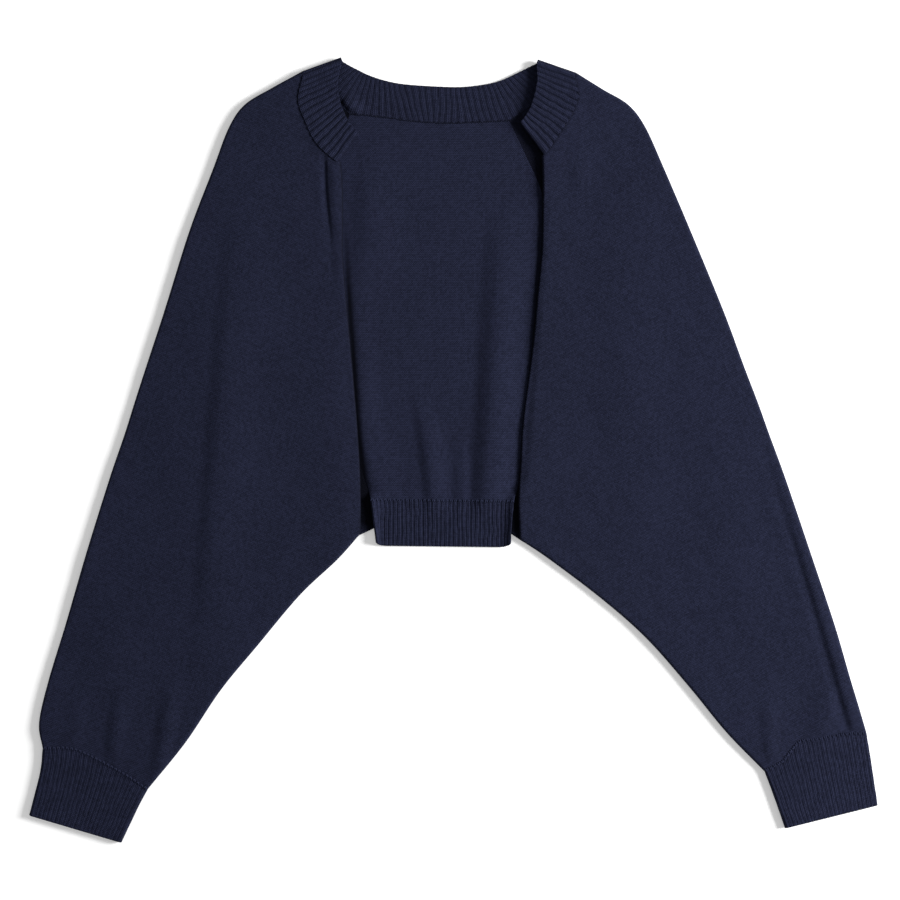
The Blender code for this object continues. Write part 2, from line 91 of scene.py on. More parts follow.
# %% A wrapped socket and a wrapped tree
class Term:
    """A socket inside a sum: + - * / and a few functions add Math nodes to its tree."""

    def __init__(self, weave, socket):
        self.weave = weave
        self.socket = socket

    def __add__(self, other):
        return self.weave.math("ADD", self, other)

    def __sub__(self, other):
        return self.weave.math("SUBTRACT", self, other)

    def __rsub__(self, other):
        return self.weave.math("SUBTRACT", other, self)

    def __mul__(self, other):
        return self.weave.math("MULTIPLY", self, other)

    def __truediv__(self, other):
        return self.weave.math("DIVIDE", self, other)

    __radd__ = __add__
    __rmul__ = __mul__

    def sine(self):
        return self.weave.math("SINE", self)

    def size(self):
        return self.weave.math("ABSOLUTE", self)

    def fraction(self):
        return self.weave.math("FRACT", self)

    def floor(self):
        return self.weave.math("FLOOR", self)

    def power(self, exponent):
        return self.weave.math("POWER", self, exponent)

    def at_most(self, other):
        return self.weave.math("MINIMUM", self, other)

    def at_least(self, other):
        return self.weave.math("MAXIMUM", self, other)


class Weave:
    """A node tree that nodes are added to: the settings come first, then the sockets."""

    def __init__(self, tree):
        self.tree = tree

    def plug(self, socket, value):
        if isinstance(value, Term):
            value = value.socket
        if isinstance(value, bpy.types.NodeSocket):
            self.tree.links.new(value, socket)
        else:
            socket.default_value = value

    def add(self, kind, settings=None, sockets=None):
        node = self.tree.nodes.new(kind)
        for name, value in (settings or {}).items():
            setattr(node, name, value)
        for name, value in (sockets or {}).items():
            self.plug(node.inputs[name], value)
        return node

    def math(self, operation, *values):
        node = self.tree.nodes.new("ShaderNodeMath")
        node.operation = operation
        for socket, value in zip(node.inputs, values):
            self.plug(socket, value)
        return Term(self, node.outputs[0])

    def out(self, node, name):
        return Term(self, node.outputs[name])


# %% [markdown]
# ## Knitted materials
# Stockinette shows columns of small V stitches on its right side and rows of little waves on its
# wrong side. Both repeat with the wale, which is the width of a stitch, and the course, which is its
# height. Each piece carries an attribute named knit that says, in metres, where a point lies across
# the wales and along them, so the pattern follows the cloth. The V comes from a wave that leans one
# way on one half of the wale and the other way on the other half.

# %% The height of a stitch
LEG_LEAN = 1.3
LEG_DEPTH = 0.65
YARN_DEPTH = 0.6
WAVE_SWING = 0.22
WAVE_DEPTH = 0.35
WAVE_HEIGHT = 0.75
WAVE_FOOT = 0.12


def v_stitches(across, along, wale, course):
    """Stockinette's right side: its height from 0 to 1, and the count of stitches along a wale."""
    half = ((across / wale).fraction() - 0.5).size()
    leg = (half * (2 * math.pi)).sine().size()
    turn = along / course + half * LEG_LEAN
    yarn = (turn * math.pi).sine().power(2.0)
    return (leg * LEG_DEPTH + (1 - LEG_DEPTH)) * (yarn * YARN_DEPTH + (1 - YARN_DEPTH)), turn


def purl_waves(across, along, wale, course):
    """Stockinette's wrong side: short waves that lie side by side in rows."""
    swing = (across / wale * (2 * math.pi)).sine()
    turn = along / course + swing * WAVE_SWING
    wave = (turn * math.pi).sine().power(2.0) * (swing.size() * WAVE_DEPTH + (1 - WAVE_DEPTH))
    return wave * WAVE_HEIGHT + WAVE_FOOT, turn


# %% [markdown]
# ## A heathered navy yarn
# No two stitches of this yarn are quite the same: a few of its fibres are lighter than the rest. So
# each stitch gets a shade of its own, softer patches run over a few stitches, and very soft ones over
# a hand's breadth. The gaps between stitches are painted darker, as painted shade, because little light
# gets in, and the same height drives the bump, so the shading and the colour agree. A second attribute
# says from 0 to 1 how freely light reaches a point, and the colour is darkened with painted shade where
# it is low. It is low in the valleys between ribs, between the layers and close beside the front edges,
# and each finish says how much of its colour that painted shade takes away there.

# %% Yarn colours and gauge, in metres
WALE = 0.00215
COURSE = 0.00165
RIB_WALE = 0.00285
NAVY_DARK = (0.0015, 0.0018, 0.0041, 1.0)
NAVY_LIGHT = (0.0204, 0.0238, 0.0520, 1.0)
YARN_ROUGHNESS = 0.9
YARN_GLOSS = 0.05
STITCH_RELIEF = 0.0006
STITCH_BUMP = 0.9
FIBRE_SCALE = 1400.0
PATCH_SCALE = 300.0
CLOUD_SCALE = 14.0
NOISE_DETAIL = 2.0

# %% How much each cause changes the shade or the height of the yarn
LEAST_SHADE = 0.09
# The height of the yarn paints its gaps darker: painted shade.
HEIGHT_SHADE = 0.7
STITCH_SHADE = 0.3
PATCH_SHADE = 0.17
FIBRE_SHADE = 0.6
CLOUD_SHADE = 0.17
FIBRE_HEIGHT = 0.8
WALE_DRIFT = 0.8


# %% A material from its stitches
def soft_noise(weave, spot, scale):
    noise = weave.add("ShaderNodeTexNoise", sockets={"Vector": spot, "Scale": scale, "Detail": NOISE_DETAIL})
    return weave.out(noise, "Fac") - 0.5


def make_material(name, fill):
    """A new material; fill adds nodes to its weave and returns the sockets of its shader."""
    material = bpy.data.materials.new(name)
    material.use_nodes = True
    material.node_tree.nodes.clear()
    weave = Weave(material.node_tree)
    shader = weave.add("ShaderNodeBsdfPrincipled", sockets=fill(weave))
    weave.add("ShaderNodeOutputMaterial", sockets={"Surface": shader.outputs["BSDF"]})
    return material


def yarn_shader(weave, colour, strength, depth, height):
    """The sockets of a shader for yarn: matt, with a bump from the given height."""
    sizes = {"Strength": strength, "Distance": depth, "Height": height}
    bump = weave.add("ShaderNodeBump", sockets=sizes)
    return {
        "Base Color": colour,
        "Roughness": YARN_ROUGHNESS,
        "Specular IOR Level": YARN_GLOSS,
        "Normal": bump.outputs["Normal"],
    }


def knit_material(name, stitch, wale, painted_shade_depth, lighter=0.0):
    """A navy knit whose colour and bump both come from the height of its stitches; the colour holds painted
    shade.
    """

    def fill(weave):
        knit = weave.add("ShaderNodeAttribute", {"attribute_name": "knit"})
        open_air = weave.out(weave.add("ShaderNodeAttribute", {"attribute_name": "open_air"}), "Fac")
        split = weave.add("ShaderNodeSeparateXYZ", sockets={"Vector": knit.outputs["Vector"]})
        spot = weave.add("ShaderNodeTexCoord").outputs["Object"]
        scales = FIBRE_SCALE, PATCH_SCALE, CLOUD_SCALE
        fibre, patch, cloud = (soft_noise(weave, spot, scale) for scale in scales)
        across = weave.out(split, "X") + cloud * (WALE_DRIFT * wale)
        height, turn = stitch(across, weave.out(split, "Y"), wale, COURSE)
        cell = weave.add("ShaderNodeCombineXYZ", sockets={"X": (across / wale).floor(), "Y": turn.floor()})
        chance = {"Vector": cell.outputs["Vector"]}
        own = weave.add("ShaderNodeTexWhiteNoise", {"noise_dimensions": "2D"}, chance)
        # Painted shade: the height term darkens the gaps between stitches.
        shade = height * HEIGHT_SHADE + weave.out(own, "Value") * STITCH_SHADE + (lighter + LEAST_SHADE)
        shade = shade + patch * PATCH_SHADE + fibre * FIBRE_SHADE + cloud * CLOUD_SHADE
        # Painted shade: the colour is darkened where little light reaches.
        shade = shade * (open_air * painted_shade_depth + (1 - painted_shade_depth))
        mix = {"Factor": shade.at_least(0.0).at_most(1.0), "A": NAVY_DARK, "B": NAVY_LIGHT}
        colour = weave.add("ShaderNodeMix", {"data_type": "RGBA"}, mix).outputs["Result"]
        return yarn_shader(weave, colour, STITCH_BUMP, STITCH_RELIEF, height + fibre * FIBRE_HEIGHT)

    return make_material(name, fill)


# %% The five knitted finishes
# The fourth number says how much of the colour painted shade takes away where no light reaches.
RIGHT_SIDE = knit_material("stockinette_right_side", v_stitches, WALE, 0.95)
WRONG_SIDE = knit_material("stockinette_wrong_side", purl_waves, WALE, 0.95, lighter=0.12)
NECK_RIB = knit_material("neck_rib_knit", v_stitches, RIB_WALE, 0.57, lighter=0.08)
HEM_RIB = knit_material("hem_rib_knit", v_stitches, RIB_WALE, 0.25)
CUFF_RIB = knit_material("cuff_rib_knit", v_stitches, RIB_WALE, 0.07, lighter=-0.03)
print("materials:", [finish.name for finish in (RIGHT_SIDE, WRONG_SIDE, NECK_RIB, HEM_RIB, CUFF_RIB)])

# %% [markdown]
# ## Curves and folds
# Four small helpers carry the whole shape: a smooth curve through a few rows of numbers, points at
# shares of its length, the straight way between two points, and the relief of a table of folds. A
# fold is a soft ridge, or a trough where its height is below zero, along a line of three points. Its
# two sides may differ in width, because cloth that was pushed together leans to one side.


# %% Smooth curves
def unit(vector):
    return vector / np.linalg.norm(vector)


def between(start, end, shares):
    """Points at the given shares of the straight way from start to end."""
    return np.outer(1 - np.array(shares), start) + np.outer(shares, end)


def on_curve(rows, place):
    """The point of a smooth curve through the rows; place counts the rows from the first."""
    last = len(rows) - 1
    start = int(min(max(place, 0), last - 1))
    u = place - start
    here, there = rows[start], rows[start + 1]
    before = rows[start - 1] if start > 0 else 2 * here - there
    after = rows[start + 2] if start + 2 <= last else 2 * there - here
    slope = (there - before) * u
    bend = (2 * before - 5 * here + 4 * there - after) * u**2
    turn = (3 * here - before - 3 * there + after) * u**3
    return 0.5 * (2 * here + slope + bend + turn)


def smooth(rows, fine=12):
    """The smooth curve through the rows, as many more rows."""
    rows = np.array(rows, float)
    return np.array([on_curve(rows, step / fine) for step in range((len(rows) - 1) * fine + 1)])


def path_lengths(path):
    """The length of a path up to each of its points."""
    return np.concatenate([[0], np.cumsum(np.linalg.norm(np.diff(path, axis=0), axis=1))])


def spread(path, shares):
    """Points at the given shares of the length of a path."""
    lengths = path_lengths(path)
    wanted = np.array(shares) * lengths[-1]
    return np.stack([np.interp(wanted, lengths, column) for column in path.T], axis=1)


def along(rows, shares):
    """Points at the given shares of the length of the smooth curve through the rows."""
    return spread(smooth(rows), shares)


# %% Folds
Fold = namedtuple("Fold", "x1 y1 x2 y2 x3 y3 left right height1 height2 height3")
FOLD_PARTS = 5


def relief(folds, places):
    """How far, in millimetres, the folds of a table lift the cloth over each place."""
    total = np.zeros(len(places))
    for fold in folds:
        line = smooth(np.array(fold[:6]).reshape(3, 2), FOLD_PARTS)
        nearest, share, width = np.full(len(places), math.inf), np.zeros(len(places)), np.ones(len(places))
        for number, (here, there) in enumerate(zip(line[:-1], line[1:])):
            run, away = there - here, places - here
            part = np.clip(away @ run / (run @ run), 0, 1)
            distance = np.linalg.norm(away - part[:, None] * run, axis=1)
            closer = distance < nearest
            on_right = run[0] * away[:, 1] - run[1] * away[:, 0] > 0
            nearest = np.where(closer, distance, nearest)
            share = np.where(closer, (number + part) / (len(line) - 1), share)
            width = np.where(closer, np.where(on_right, fold.right, fold.left), width)
        slope = np.cos(0.5 * math.pi * np.clip(nearest / width, 0, 1)) ** 2
        end = np.where(share < 0.5, fold.height1, fold.height3)
        total += slope * (end + (fold.height2 - end) * np.sin(math.pi * share))
    return total


# %% The slight unevenness of cloth that was laid by hand
RIPPLE_HEIGHT = 0.16
RIPPLE_LENGTHS = (120.0, 85.0, 60.0, 43.0, 31.0, 22.0)
RIPPLE_FADE = 0.6


def ripple(places, seed):
    """Gentle unevenness from a few crossing waves, the same on every run."""
    chance = np.random.default_rng(seed)
    total = np.zeros(len(places))
    for length in RIPPLE_LENGTHS:
        angle, phase = chance.uniform(0, math.pi), chance.uniform(0, 2 * math.pi)
        direction = np.array([math.cos(angle), math.sin(angle)])
        strength = (length / RIPPLE_LENGTHS[0]) ** RIPPLE_FADE
        total += np.sin(places @ direction * (2 * math.pi / length) + phase) * strength
    return total * RIPPLE_HEIGHT


# %% [markdown]
# ## The cut of the garment
# These tables are the garment's own measurements in millimetres. A station crosses a sleeve from the
# outer fold to the inner edge of the top layer, and says where the under layer ends at its seam with
# the back. Below the corner of the front the sleeve is closed, and its under layer has no seam there.
# The tables of folds hold the creases that the cloth took when it was laid down.

# %% Stations of the sleeves
CLOTH = 2.0
CORNER_STATION = 9
Station = namedtuple("Station", "fold_x fold_y edge_x edge_y seam_x seam_y", defaults=(0, 0))
LEFT_STATIONS = [
    Station(-144, 358, -106.9, 272.5, -98.3, 318.5),
    Station(-172.4, 342.5, -105, 246, -109.7, 282),
    Station(-198.1, 326.8, -105, 215.6, -121.1, 246),
    Station(-213.3, 304.9, -105, 184.3, -127.8, 208),
    Station(-228.5, 265.1, -102.1, 146.3, -130.6, 168.2),
    Station(-250.3, 208, -97.4, 94, -130.6, 117.8),
    Station(-274.1, 132, -91.7, 27.5, -123, 54.1),
    Station(-292.1, 77, -88.8, -18.1, -95.5, 3.8),
    Station(-302.6, 44.6, -87.9, -48.4, -80.4, -38.9),
    Station(-312.1, 14.2, -87.9, -79.8, -73.5, -74),
    Station(-326.3, -27.5, -109.7, -104.5),
    Station(-348.2, -97.8, -145.8, -138.7),
    Station(-368.1, -166.2, -185.7, -186.2),
    Station(-384.3, -219.4, -220.9, -228.9),
    Station(-393.3, -259.3, -254.1, -278.3),
    Station(-390, -284.1, -290.2, -323),
]
RIGHT_STATIONS = [
    Station(116.4, 357, 83.1, 278.5, 52.7, 312),
    Station(142, 341.1, 84.1, 246, 67, 282.1),
    Station(165.8, 326.8, 84.1, 215.6, 83.1, 246),
    Station(181.9, 305.9, 83.1, 184.3, 92.6, 208),
    Station(200, 266, 79.3, 144.4, 98.3, 168.2),
    Station(224.7, 208, 74.6, 94, 99.3, 117.8),
    Station(256, 132, 66, 27.5, 93.6, 54.1),
    Station(276.4, 77, 63.2, -18.1, 79.3, 3.8),
    Station(288.8, 44.6, 61.3, -48.4, 59.9, -38.9),
    Station(299.7, 14.2, 62.2, -85.5, 53, -79),
    Station(314.9, -27.5, 90.7, -104.5),
    Station(338.7, -97.8, 142, -143.4),
    Station(361.5, -166.2, 183.8, -180.5),
    Station(374.8, -211.8, 224.7, -227),
    Station(384.3, -243.2, 258.9, -268.8),
    Station(391.9, -268.8, 295, -305.9),
]

# %% Seams of the neck, the cuffs and the hem
Point = namedtuple("Point", "x y")
LEFT_NECK = [Point(-147, 330.6), Point(-140.1, 309.7), Point(-130.6, 290.7), Point(-117.3, 277.5)]
RIGHT_NECK = [Point(118.3, 336.3), Point(113.5, 320.1), Point(104, 304), Point(93.6, 288.5)]
BACK_NECK = [Point(-98.3, 318.5), Point(-81.2, 316.8), Point(-60.3, 314.5), Point(-41.3, 311.6)]
BACK_NECK += [Point(-8.1, 309.7), Point(25.2, 310.6), Point(52.7, 312)]
HEM_LEFT = Point(-78.4, -48)
HEM_RIGHT = Point(57, -49.6)
BACK_LAST_STATION = 8.15
BACK_HEM_DRAW = 0.85

Bow = namedtuple("Bow", "share rise")
LEFT_CUFF_BOW = [Bow(0, 0), Bow(0.27, 9.5), Bow(0.51, 9), Bow(0.8, 5), Bow(1, 0)]
RIGHT_CUFF_BOW = [Bow(0, 0), Bow(0.2, 6.2), Bow(0.5, 11.5), Bow(0.66, 15)]
RIGHT_CUFF_BOW += [Bow(0.76, 9), Bow(0.84, 2.5), Bow(1, 0)]
CuffRow = namedtuple("CuffRow", "outer_x outer_y inner_x inner_y")
LEFT_CUFF = [
    CuffRow(-390.2, -285, -290.8, -323.8),
    CuffRow(-392.6, -307, -299.5, -340.5),
    CuffRow(-402.8, -347.6, -315.2, -373.6),
]
RIGHT_CUFF = [
    CuffRow(392.1, -269.6, 295.4, -306.8),
    CuffRow(396, -292, 303, -327),
    CuffRow(402.8, -338, 314.5, -360),
]

# %% The free side of the neckband
BandSection = namedtuple("BandSection", "share free_x free_y")
LEFT_BAND = [
    BandSection(0, -105.5, 368),
    BandSection(0.26, -109.7, 348.6),
    BandSection(0.49, -107.9, 331),
    BandSection(0.68, -103.6, 319),
    BandSection(0.85, -98, 308.5),
    BandSection(1, -89.8, 299.3),
]
RIGHT_BAND = [
    BandSection(0, 78.8, 366),
    BandSection(0.26, 79.3, 350),
    BandSection(0.49, 76.6, 335),
    BandSection(0.68, 72.2, 322),
    BandSection(0.85, 67.8, 315),
    BandSection(1, 63.6, 309.5),
]
BACK_BAND = [
    BandSection(0, -105.5, 368),
    BandSection(0.06, -98, 363.6),
    BandSection(0.13, -90, 359.6),
    BandSection(0.22, -81.2, 355.3),
    BandSection(0.32, -66.5, 350.3),
    BandSection(0.42, -45.6, 346.3),
    BandSection(0.52, -8.1, 343.9),
    BandSection(0.62, 12, 344),
    BandSection(0.70, 31.4, 346.5),
    BandSection(0.79, 45, 350),
    BandSection(0.87, 58, 355.8),
    BandSection(0.94, 69.5, 361.5),
    BandSection(1, 78.8, 366),
]

# %% Creases and puckers
LEFT_FOLDS = [
    Fold(-203, 250, -222, 5, -241, -235, 17, 44, 0, 2.3, 0),
    Fold(-203, 250, -222, 5, -241, -235, 80, 60, 0, 1.5, 0),
    Fold(-117.3, 150, -109.7, 8.6, -103, -90, 44, 18, 0.5, 1.1, 0.5),
    Fold(-121.5, 276, -120.6, 245, -115.5, 190, 7, 3, -1.3, -1.25, 0),
    Fold(-112.5, 270, -112, 225, -104, 110, 7.5, 9, 1, 0.9, 0),
    Fold(-315, -219, -320.6, -268, -326.3, -310, 11, 15, 0, 1.6, 1.2),
    Fold(-266, -215, -273.1, -267, -280.7, -313, 13, 14, 0, 2.1, 1.4),
    Fold(-352, -225, -358, -262, -362, -290, 14, 12, 0, 0.8, 0.6),
]
RIGHT_FOLDS = [
    Fold(160, 274.6, 162.9, 103.6, 171.5, -77.5, 42, 50, 0.3, 1.6, 0.3),
    Fold(118.3, 284, 120.2, 255.6, 120.2, 222, 14, 14, 0.2, 0.9, 0),
    Fold(84, 235, 74, 94, 63, -30, 13, 9, -0.9, -1.4, -1.6),
    Fold(289, 15, 340.5, -153, 373, -265, 9, 6.5, 0, -1, -1),
    Fold(297, 15, 348.5, -153, 381, -265, 8, 8, 0, 0.9, 0.9),
    Fold(308, 15, 360, -153, 393, -265, 48, 12, 0, 1.1, 0.8),
    Fold(355.8, -222, 353.9, -250, 350, -280, 24, 13, 0, 1.6, 1),
    Fold(298.8, -235, 298.8, -271.7, 302.6, -300, 10, 15, 0, 1.7, 1.2),
    Fold(240, 80, 262, -60, 285, -210, 40, 46, 0, 1, 0),
]
BACK_FOLDS = [
    Fold(46, 210, 37, 45, 31, -53, 21, 30, 1.2, 4.2, 4),
    Fold(-33.7, 56.6, -24.2, -1, -18.5, -53, 12, 20, 0, 2.2, 2.1),
    Fold(-69.8, 40, -66, -10.5, -62.2, -53, 12, 20, 0, 1, 1.1),
    Fold(-92, 170, -85.5, 40, -78.5, -53, 9, 20, 0, 1.7, 3.4),
    Fold(-80, 275, -80, 220, -84, 150, 22, 40, 0.5, 1.8, 0.5),
    Fold(8, 15, 9, -30, 9, -53, 13, 9, 0, 1.2, 1.2),
    Fold(-106, 336, -98.5, 325.5, -86, 317, 5, 14, 0.4, 2.9, 0),
]

# %% [markdown]
# ## From a grid of points to a knitted sheet
# A grid primitive gives the faces, and its points are then put where the garment's formulas say. The
# attribute knit goes along for the material. Where a sleeve closes into a tube, the two sides of the
# grid meet and are merged. Solidify makes the wall, and a small Bevel rounds the cut edges, which in
# real cloth are soft. Taking the evaluated mesh applies all modifiers.

# %% Sheet helpers
BODY = "root"
EDGE_ROUND = 0.6
EDGE_ANGLE = math.radians(60)
MERGE_DISTANCE = 0.001


def grid_object(name, points, knit, extra=None, joined_from=None):
    """An object from rows of points in millimetres, with its knit coordinates in metres."""
    rows, width = points.shape[:2]
    bm = bmesh.new()
    bmesh.ops.create_grid(bm, x_segments=width - 1, y_segments=rows - 1, size=1)
    mesh = bpy.data.meshes.new(name)
    bm.to_mesh(mesh)
    mesh.vertices.foreach_set("co", (points * MM).ravel())
    attribute = mesh.attributes.new("knit", "FLOAT_VECTOR", "POINT")
    flat = np.concatenate([knit, np.zeros((rows, width, 1))], axis=2)
    attribute.data.foreach_set("vector", flat.ravel())
    for key, values in (extra or {}).items():
        mesh.attributes.new(key, "FLOAT", "POINT").data.foreach_set("value", values.ravel())
    bm.clear()
    bm.from_mesh(mesh)
    bm.verts.ensure_lookup_table()
    if joined_from is not None:
        firsts = [bm.verts[row * width] for row in range(joined_from, rows)]
        lasts = [bm.verts[row * width + width - 1] for row in range(joined_from, rows)]
        bmesh.ops.remove_doubles(bm, verts=firsts + lasts, dist=MERGE_DISTANCE * MM)
    bm.to_mesh(mesh)
    bm.free()
    return add_object(name, mesh)


def applied(piece, material):
    """The piece with its modifiers turned into plain mesh, shaded smooth."""
    graph = bpy.context.evaluated_depsgraph_get()
    graph.update()
    mesh = bpy.data.meshes.new_from_object(piece.evaluated_get(graph))
    piece.modifiers.clear()
    piece.data = mesh
    mesh.materials.clear()
    mesh.materials.append(material)
    mesh.shade_smooth()
    return piece


def add_wall(piece, thickness):
    wall = piece.modifiers.new("wall", "SOLIDIFY")
    wall.thickness = thickness * MM
    wall.offset = 0.0
    wall.use_even_offset = True
    edge = piece.modifiers.new("soft_edge", "BEVEL")
    edge.width = EDGE_ROUND * MM
    edge.segments = 2
    edge.limit_method = "ANGLE"
    edge.angle_limit = EDGE_ANGLE


def fit_piece(piece, node):
    """Hangs the piece on the body's empty, hides the solid of the frame that it stands for, and prints its
    triangles.
    """
    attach(piece, BODY)
    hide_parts(node)
    triangles = sum(len(face.vertices) - 2 for face in piece.data.polygons)
    print(piece.name, "has", triangles, "triangles")


# %% [markdown]
# ## Sleeves with their fronts
# Each sleeve is one sheet. Its row runs from the rolled front edge over the top layer to the outer
# fold, round it, and back along the under layer to the seam of the back. Below the front's corner
# the underarm closes, and the row becomes a loop. The wales run along the sleeve, side by side with
# the outer fold, so the knit coordinates are the plan turned to that direction.

# %% Gaps between the layers, and how many stations the neck and the cuff reach
LAYER_GAP = 2.0
LEAST_GAP = 0.3
MOST_GAP = 6.2
NECK_LAYER_GAP = 3.6
CUFF_LAYER_GAP = 1.6
NECK_GAP_STATIONS = 2.5
NECK_FADE_STATIONS = 0.5
NECK_PULL_STATIONS = 4.0
CUFF_GAP_STATIONS = 0.8
CUFF_FADE_STATIONS = 0.3
CUFF_PULL_STATIONS = 2.0
RAIL_REACH = 0.4
EDGE_CURL_END = 2.6
EDGE_CURL_WIDTH = 0.5

# %% The sleeve's rows
TOP_COLUMNS = 150
UNDER_COLUMNS = 40
FOLD_STEPS = 12
CURL_STEPS = 6
OPEN_STEPS = 11
CLOSED_STEPS = 13


def turned(place, outward, height, radius, turns):
    """Points where the cloth turns over: out by the sine of each turn, down by the cosine."""
    return [[*(place + math.sin(turn) * outward), height - radius * (1 - math.cos(turn))] for turn in turns]


class Sleeve:
    """Works out the places of a sleeve and its front from their tables."""

    def __init__(self, stations, neck, bow, folds, seed):
        table = np.array(stations, float)
        self.fold = table[:, 0:2]
        self.edge_open = table[: CORNER_STATION + 1, 2:4]
        self.edge_closed = table[CORNER_STATION:, 2:4]
        self.seam = table[: CORNER_STATION + 1, 4:6]
        self.last = len(stations) - 1
        self.neck = neck
        self.bow = bow
        self.folds = folds
        self.seed = seed

    def edge(self, station):
        if station <= CORNER_STATION:
            return on_curve(self.edge_open, station)
        return on_curve(self.edge_closed, station - CORNER_STATION)

    def inward(self, rail, station, towards):
        """The direction square to a rail, on the side of another point."""
        run = rail(min(station + RAIL_REACH, self.last)) - rail(max(station - RAIL_REACH, 0))
        square = unit(np.array([-run[1], run[0]]))
        return square if np.dot(square, towards - rail(station)) > 0 else -square

    def top(self, station, places):
        """Height of the middle of the top layer over each place."""
        from_end = self.last - station
        neck = max(0.0, 1 - station / NECK_GAP_STATIONS)
        cuff = max(0.0, 1 - from_end / CUFF_GAP_STATIONS)
        gap = LAYER_GAP * (1 - neck) + NECK_LAYER_GAP * neck
        gap = gap * (1 - cuff) + CUFF_LAYER_GAP * cuff
        fade = min(1.0, station / NECK_FADE_STATIONS, from_end / CUFF_FADE_STATIONS)
        lift = relief(self.folds, places) + ripple(places, self.seed)
        return 1.5 * CLOTH + np.clip(gap + fade * lift, LEAST_GAP, MOST_GAP)

    def corners(self, station):
        """The two ends of the flat part of the top layer, and the size and way of the turns there."""
        fold, edge = on_curve(self.fold, station), self.edge(station)
        from_fold = self.inward(lambda place: on_curve(self.fold, place), station, edge)
        from_edge = self.inward(self.edge, station, fold)
        inside = np.array([fold + 2 * LAYER_GAP * from_fold, edge + 2 * LAYER_GAP * from_edge])
        fold_top, edge_top = self.top(station, inside)
        fold_radius = (fold_top - CLOTH / 2) / 2
        edge_radius = (edge_top - CLOTH / 2) / 2
        reach = edge_radius
        if station <= CORNER_STATION:
            edge_radius = edge_top - EDGE_CURL_END
            closing = max(0.0, 1 - (CORNER_STATION - station)) ** 2
            reach = edge_radius * (EDGE_CURL_WIDTH * (1 - closing) + closing)
        start = fold + (CLOTH / 2 + fold_radius) * from_fold
        end = edge + (CLOTH / 2 + reach) * from_edge
        return start, end, fold_radius, edge_radius, from_fold, reach * from_edge

    def neck_seam(self, shares):
        start, end = self.corners(0)[:2]
        return along([start, *self.neck, end], shares)

    def cuff_rise(self, shares):
        path = smooth([[bow.share, bow.rise] for bow in self.bow])
        return np.interp(shares, path[:, 0], path[:, 1])

    def cuff_seam(self, shares):
        """The seam of the cuff on the top layer, from the outer fold to the inner side."""
        start, end = self.corners(self.last)[:2]
        rise = self.cuff_rise(shares)
        return between(start, end, shares) + np.stack([0 * rise, rise], axis=1)

    def row(self, station):
        """One row of the sheet: curled edge, top layer, outer fold, under layer."""
        start, end, fold_radius, edge_radius, from_fold, edge_reach = self.corners(station)
        shares = np.linspace(1, 0, TOP_COLUMNS + 1)
        flat = between(start, end, shares)
        neck_pull = max(0.0, 1 - station / NECK_PULL_STATIONS) ** 2
        flat += neck_pull * (self.neck_seam(shares) - between(*self.neck_ends, shares))
        cuff_pull = max(0.0, 1 - (self.last - station) / CUFF_PULL_STATIONS) ** 2
        flat += cuff_pull * (self.cuff_seam(shares) - between(*self.cuff_ends, shares))
        upper = np.column_stack([flat, self.top(station, flat)])
        curl_turns = [0.5 * math.pi * step / CURL_STEPS for step in range(CURL_STEPS, 0, -1)]
        curl = turned(end, -edge_reach, upper[0][2], edge_radius, curl_turns)
        fold_turns = [math.pi * step / FOLD_STEPS for step in range(1, FOLD_STEPS)]
        fold = turned(start, -fold_radius * from_fold, upper[-1][2], fold_radius, fold_turns)
        under = self.under_row(station, start, end, edge_radius, edge_reach, curl[0])
        return np.vstack([curl, upper, fold, under])

    def under_row(self, station, start, end, edge_radius, edge_reach, tip):
        """The under layer lies flat, to the seam of the back or round into the underarm."""
        low = CLOTH / 2
        if station <= CORNER_STATION:
            seam = on_curve(self.seam, station)
            back = unit(start - seam)
            steps = np.linspace(CLOTH * 2, 0, CURL_STEPS + 1)
            ends = np.array([[*(seam + step * back), low] for step in steps])
        else:
            turns = np.linspace(0, 0.5 * math.pi, CURL_STEPS + 1)
            ends = np.array(turned(end, -edge_reach, low, -edge_radius, turns))
            ends[-1] = tip
        first = np.array([*start, low])
        return np.vstack([between(first, ends[0], np.arange(UNDER_COLUMNS) / UNDER_COLUMNS), ends])

    def grid(self):
        """All rows, and the number of the first row whose sides meet."""
        self.neck_ends = self.corners(0)[:2]
        self.cuff_ends = self.corners(self.last)[:2]
        open_rows = OPEN_STEPS * CORNER_STATION + 1
        closed_rows = CLOSED_STEPS * (self.last - CORNER_STATION)
        stations = [step / OPEN_STEPS for step in range(open_rows)]
        stations += [CORNER_STATION + (step + 1) / CLOSED_STEPS for step in range(closed_rows)]
        return np.array([self.row(station) for station in stations]), open_rows


left = Sleeve(LEFT_STATIONS, LEFT_NECK, LEFT_CUFF_BOW, LEFT_FOLDS, seed=3)
right = Sleeve(RIGHT_STATIONS, RIGHT_NECK, RIGHT_CUFF_BOW, RIGHT_FOLDS, seed=8)
print("stations of a sleeve:", left.last + 1)

# %% Wales of the two sleeves, their cut in metres, and how freely light reaches their edges, as painted shade
LEFT_WALE_ANGLE = math.radians(252.6)
RIGHT_WALE_ANGLE = math.radians(-69.5)
# Painted shade: the rows by the neck seam lie darker beside the band, and the rims of the rolled front edges
# are painted dark.
NECK_ROW_PAINTED_LIGHT = (0.5, 0.85)
RIM_PAINTED_LIGHT = [0.0, 0.05, 0.15, 0.3, 0.45, 0.65, 0.85]
# Painted shade in the hollow of the under layer beside the back's seam: how many columns, how much light,
# how fast it fades.
HOLLOW_COLUMNS = CURL_STEPS + 6
RIGHT_HOLLOW_PAINTED_LIGHT = 0.45
HOLLOW_FADE = 4.0


def along_wales(points, angle):
    """Knit coordinates of a plan whose wales run at the given angle."""
    way = np.array([math.cos(angle), math.sin(angle)])
    side = np.array([-way[1], way[0]])
    return np.stack([points[..., :2] @ side, points[..., :2] @ way], axis=-1) * MM


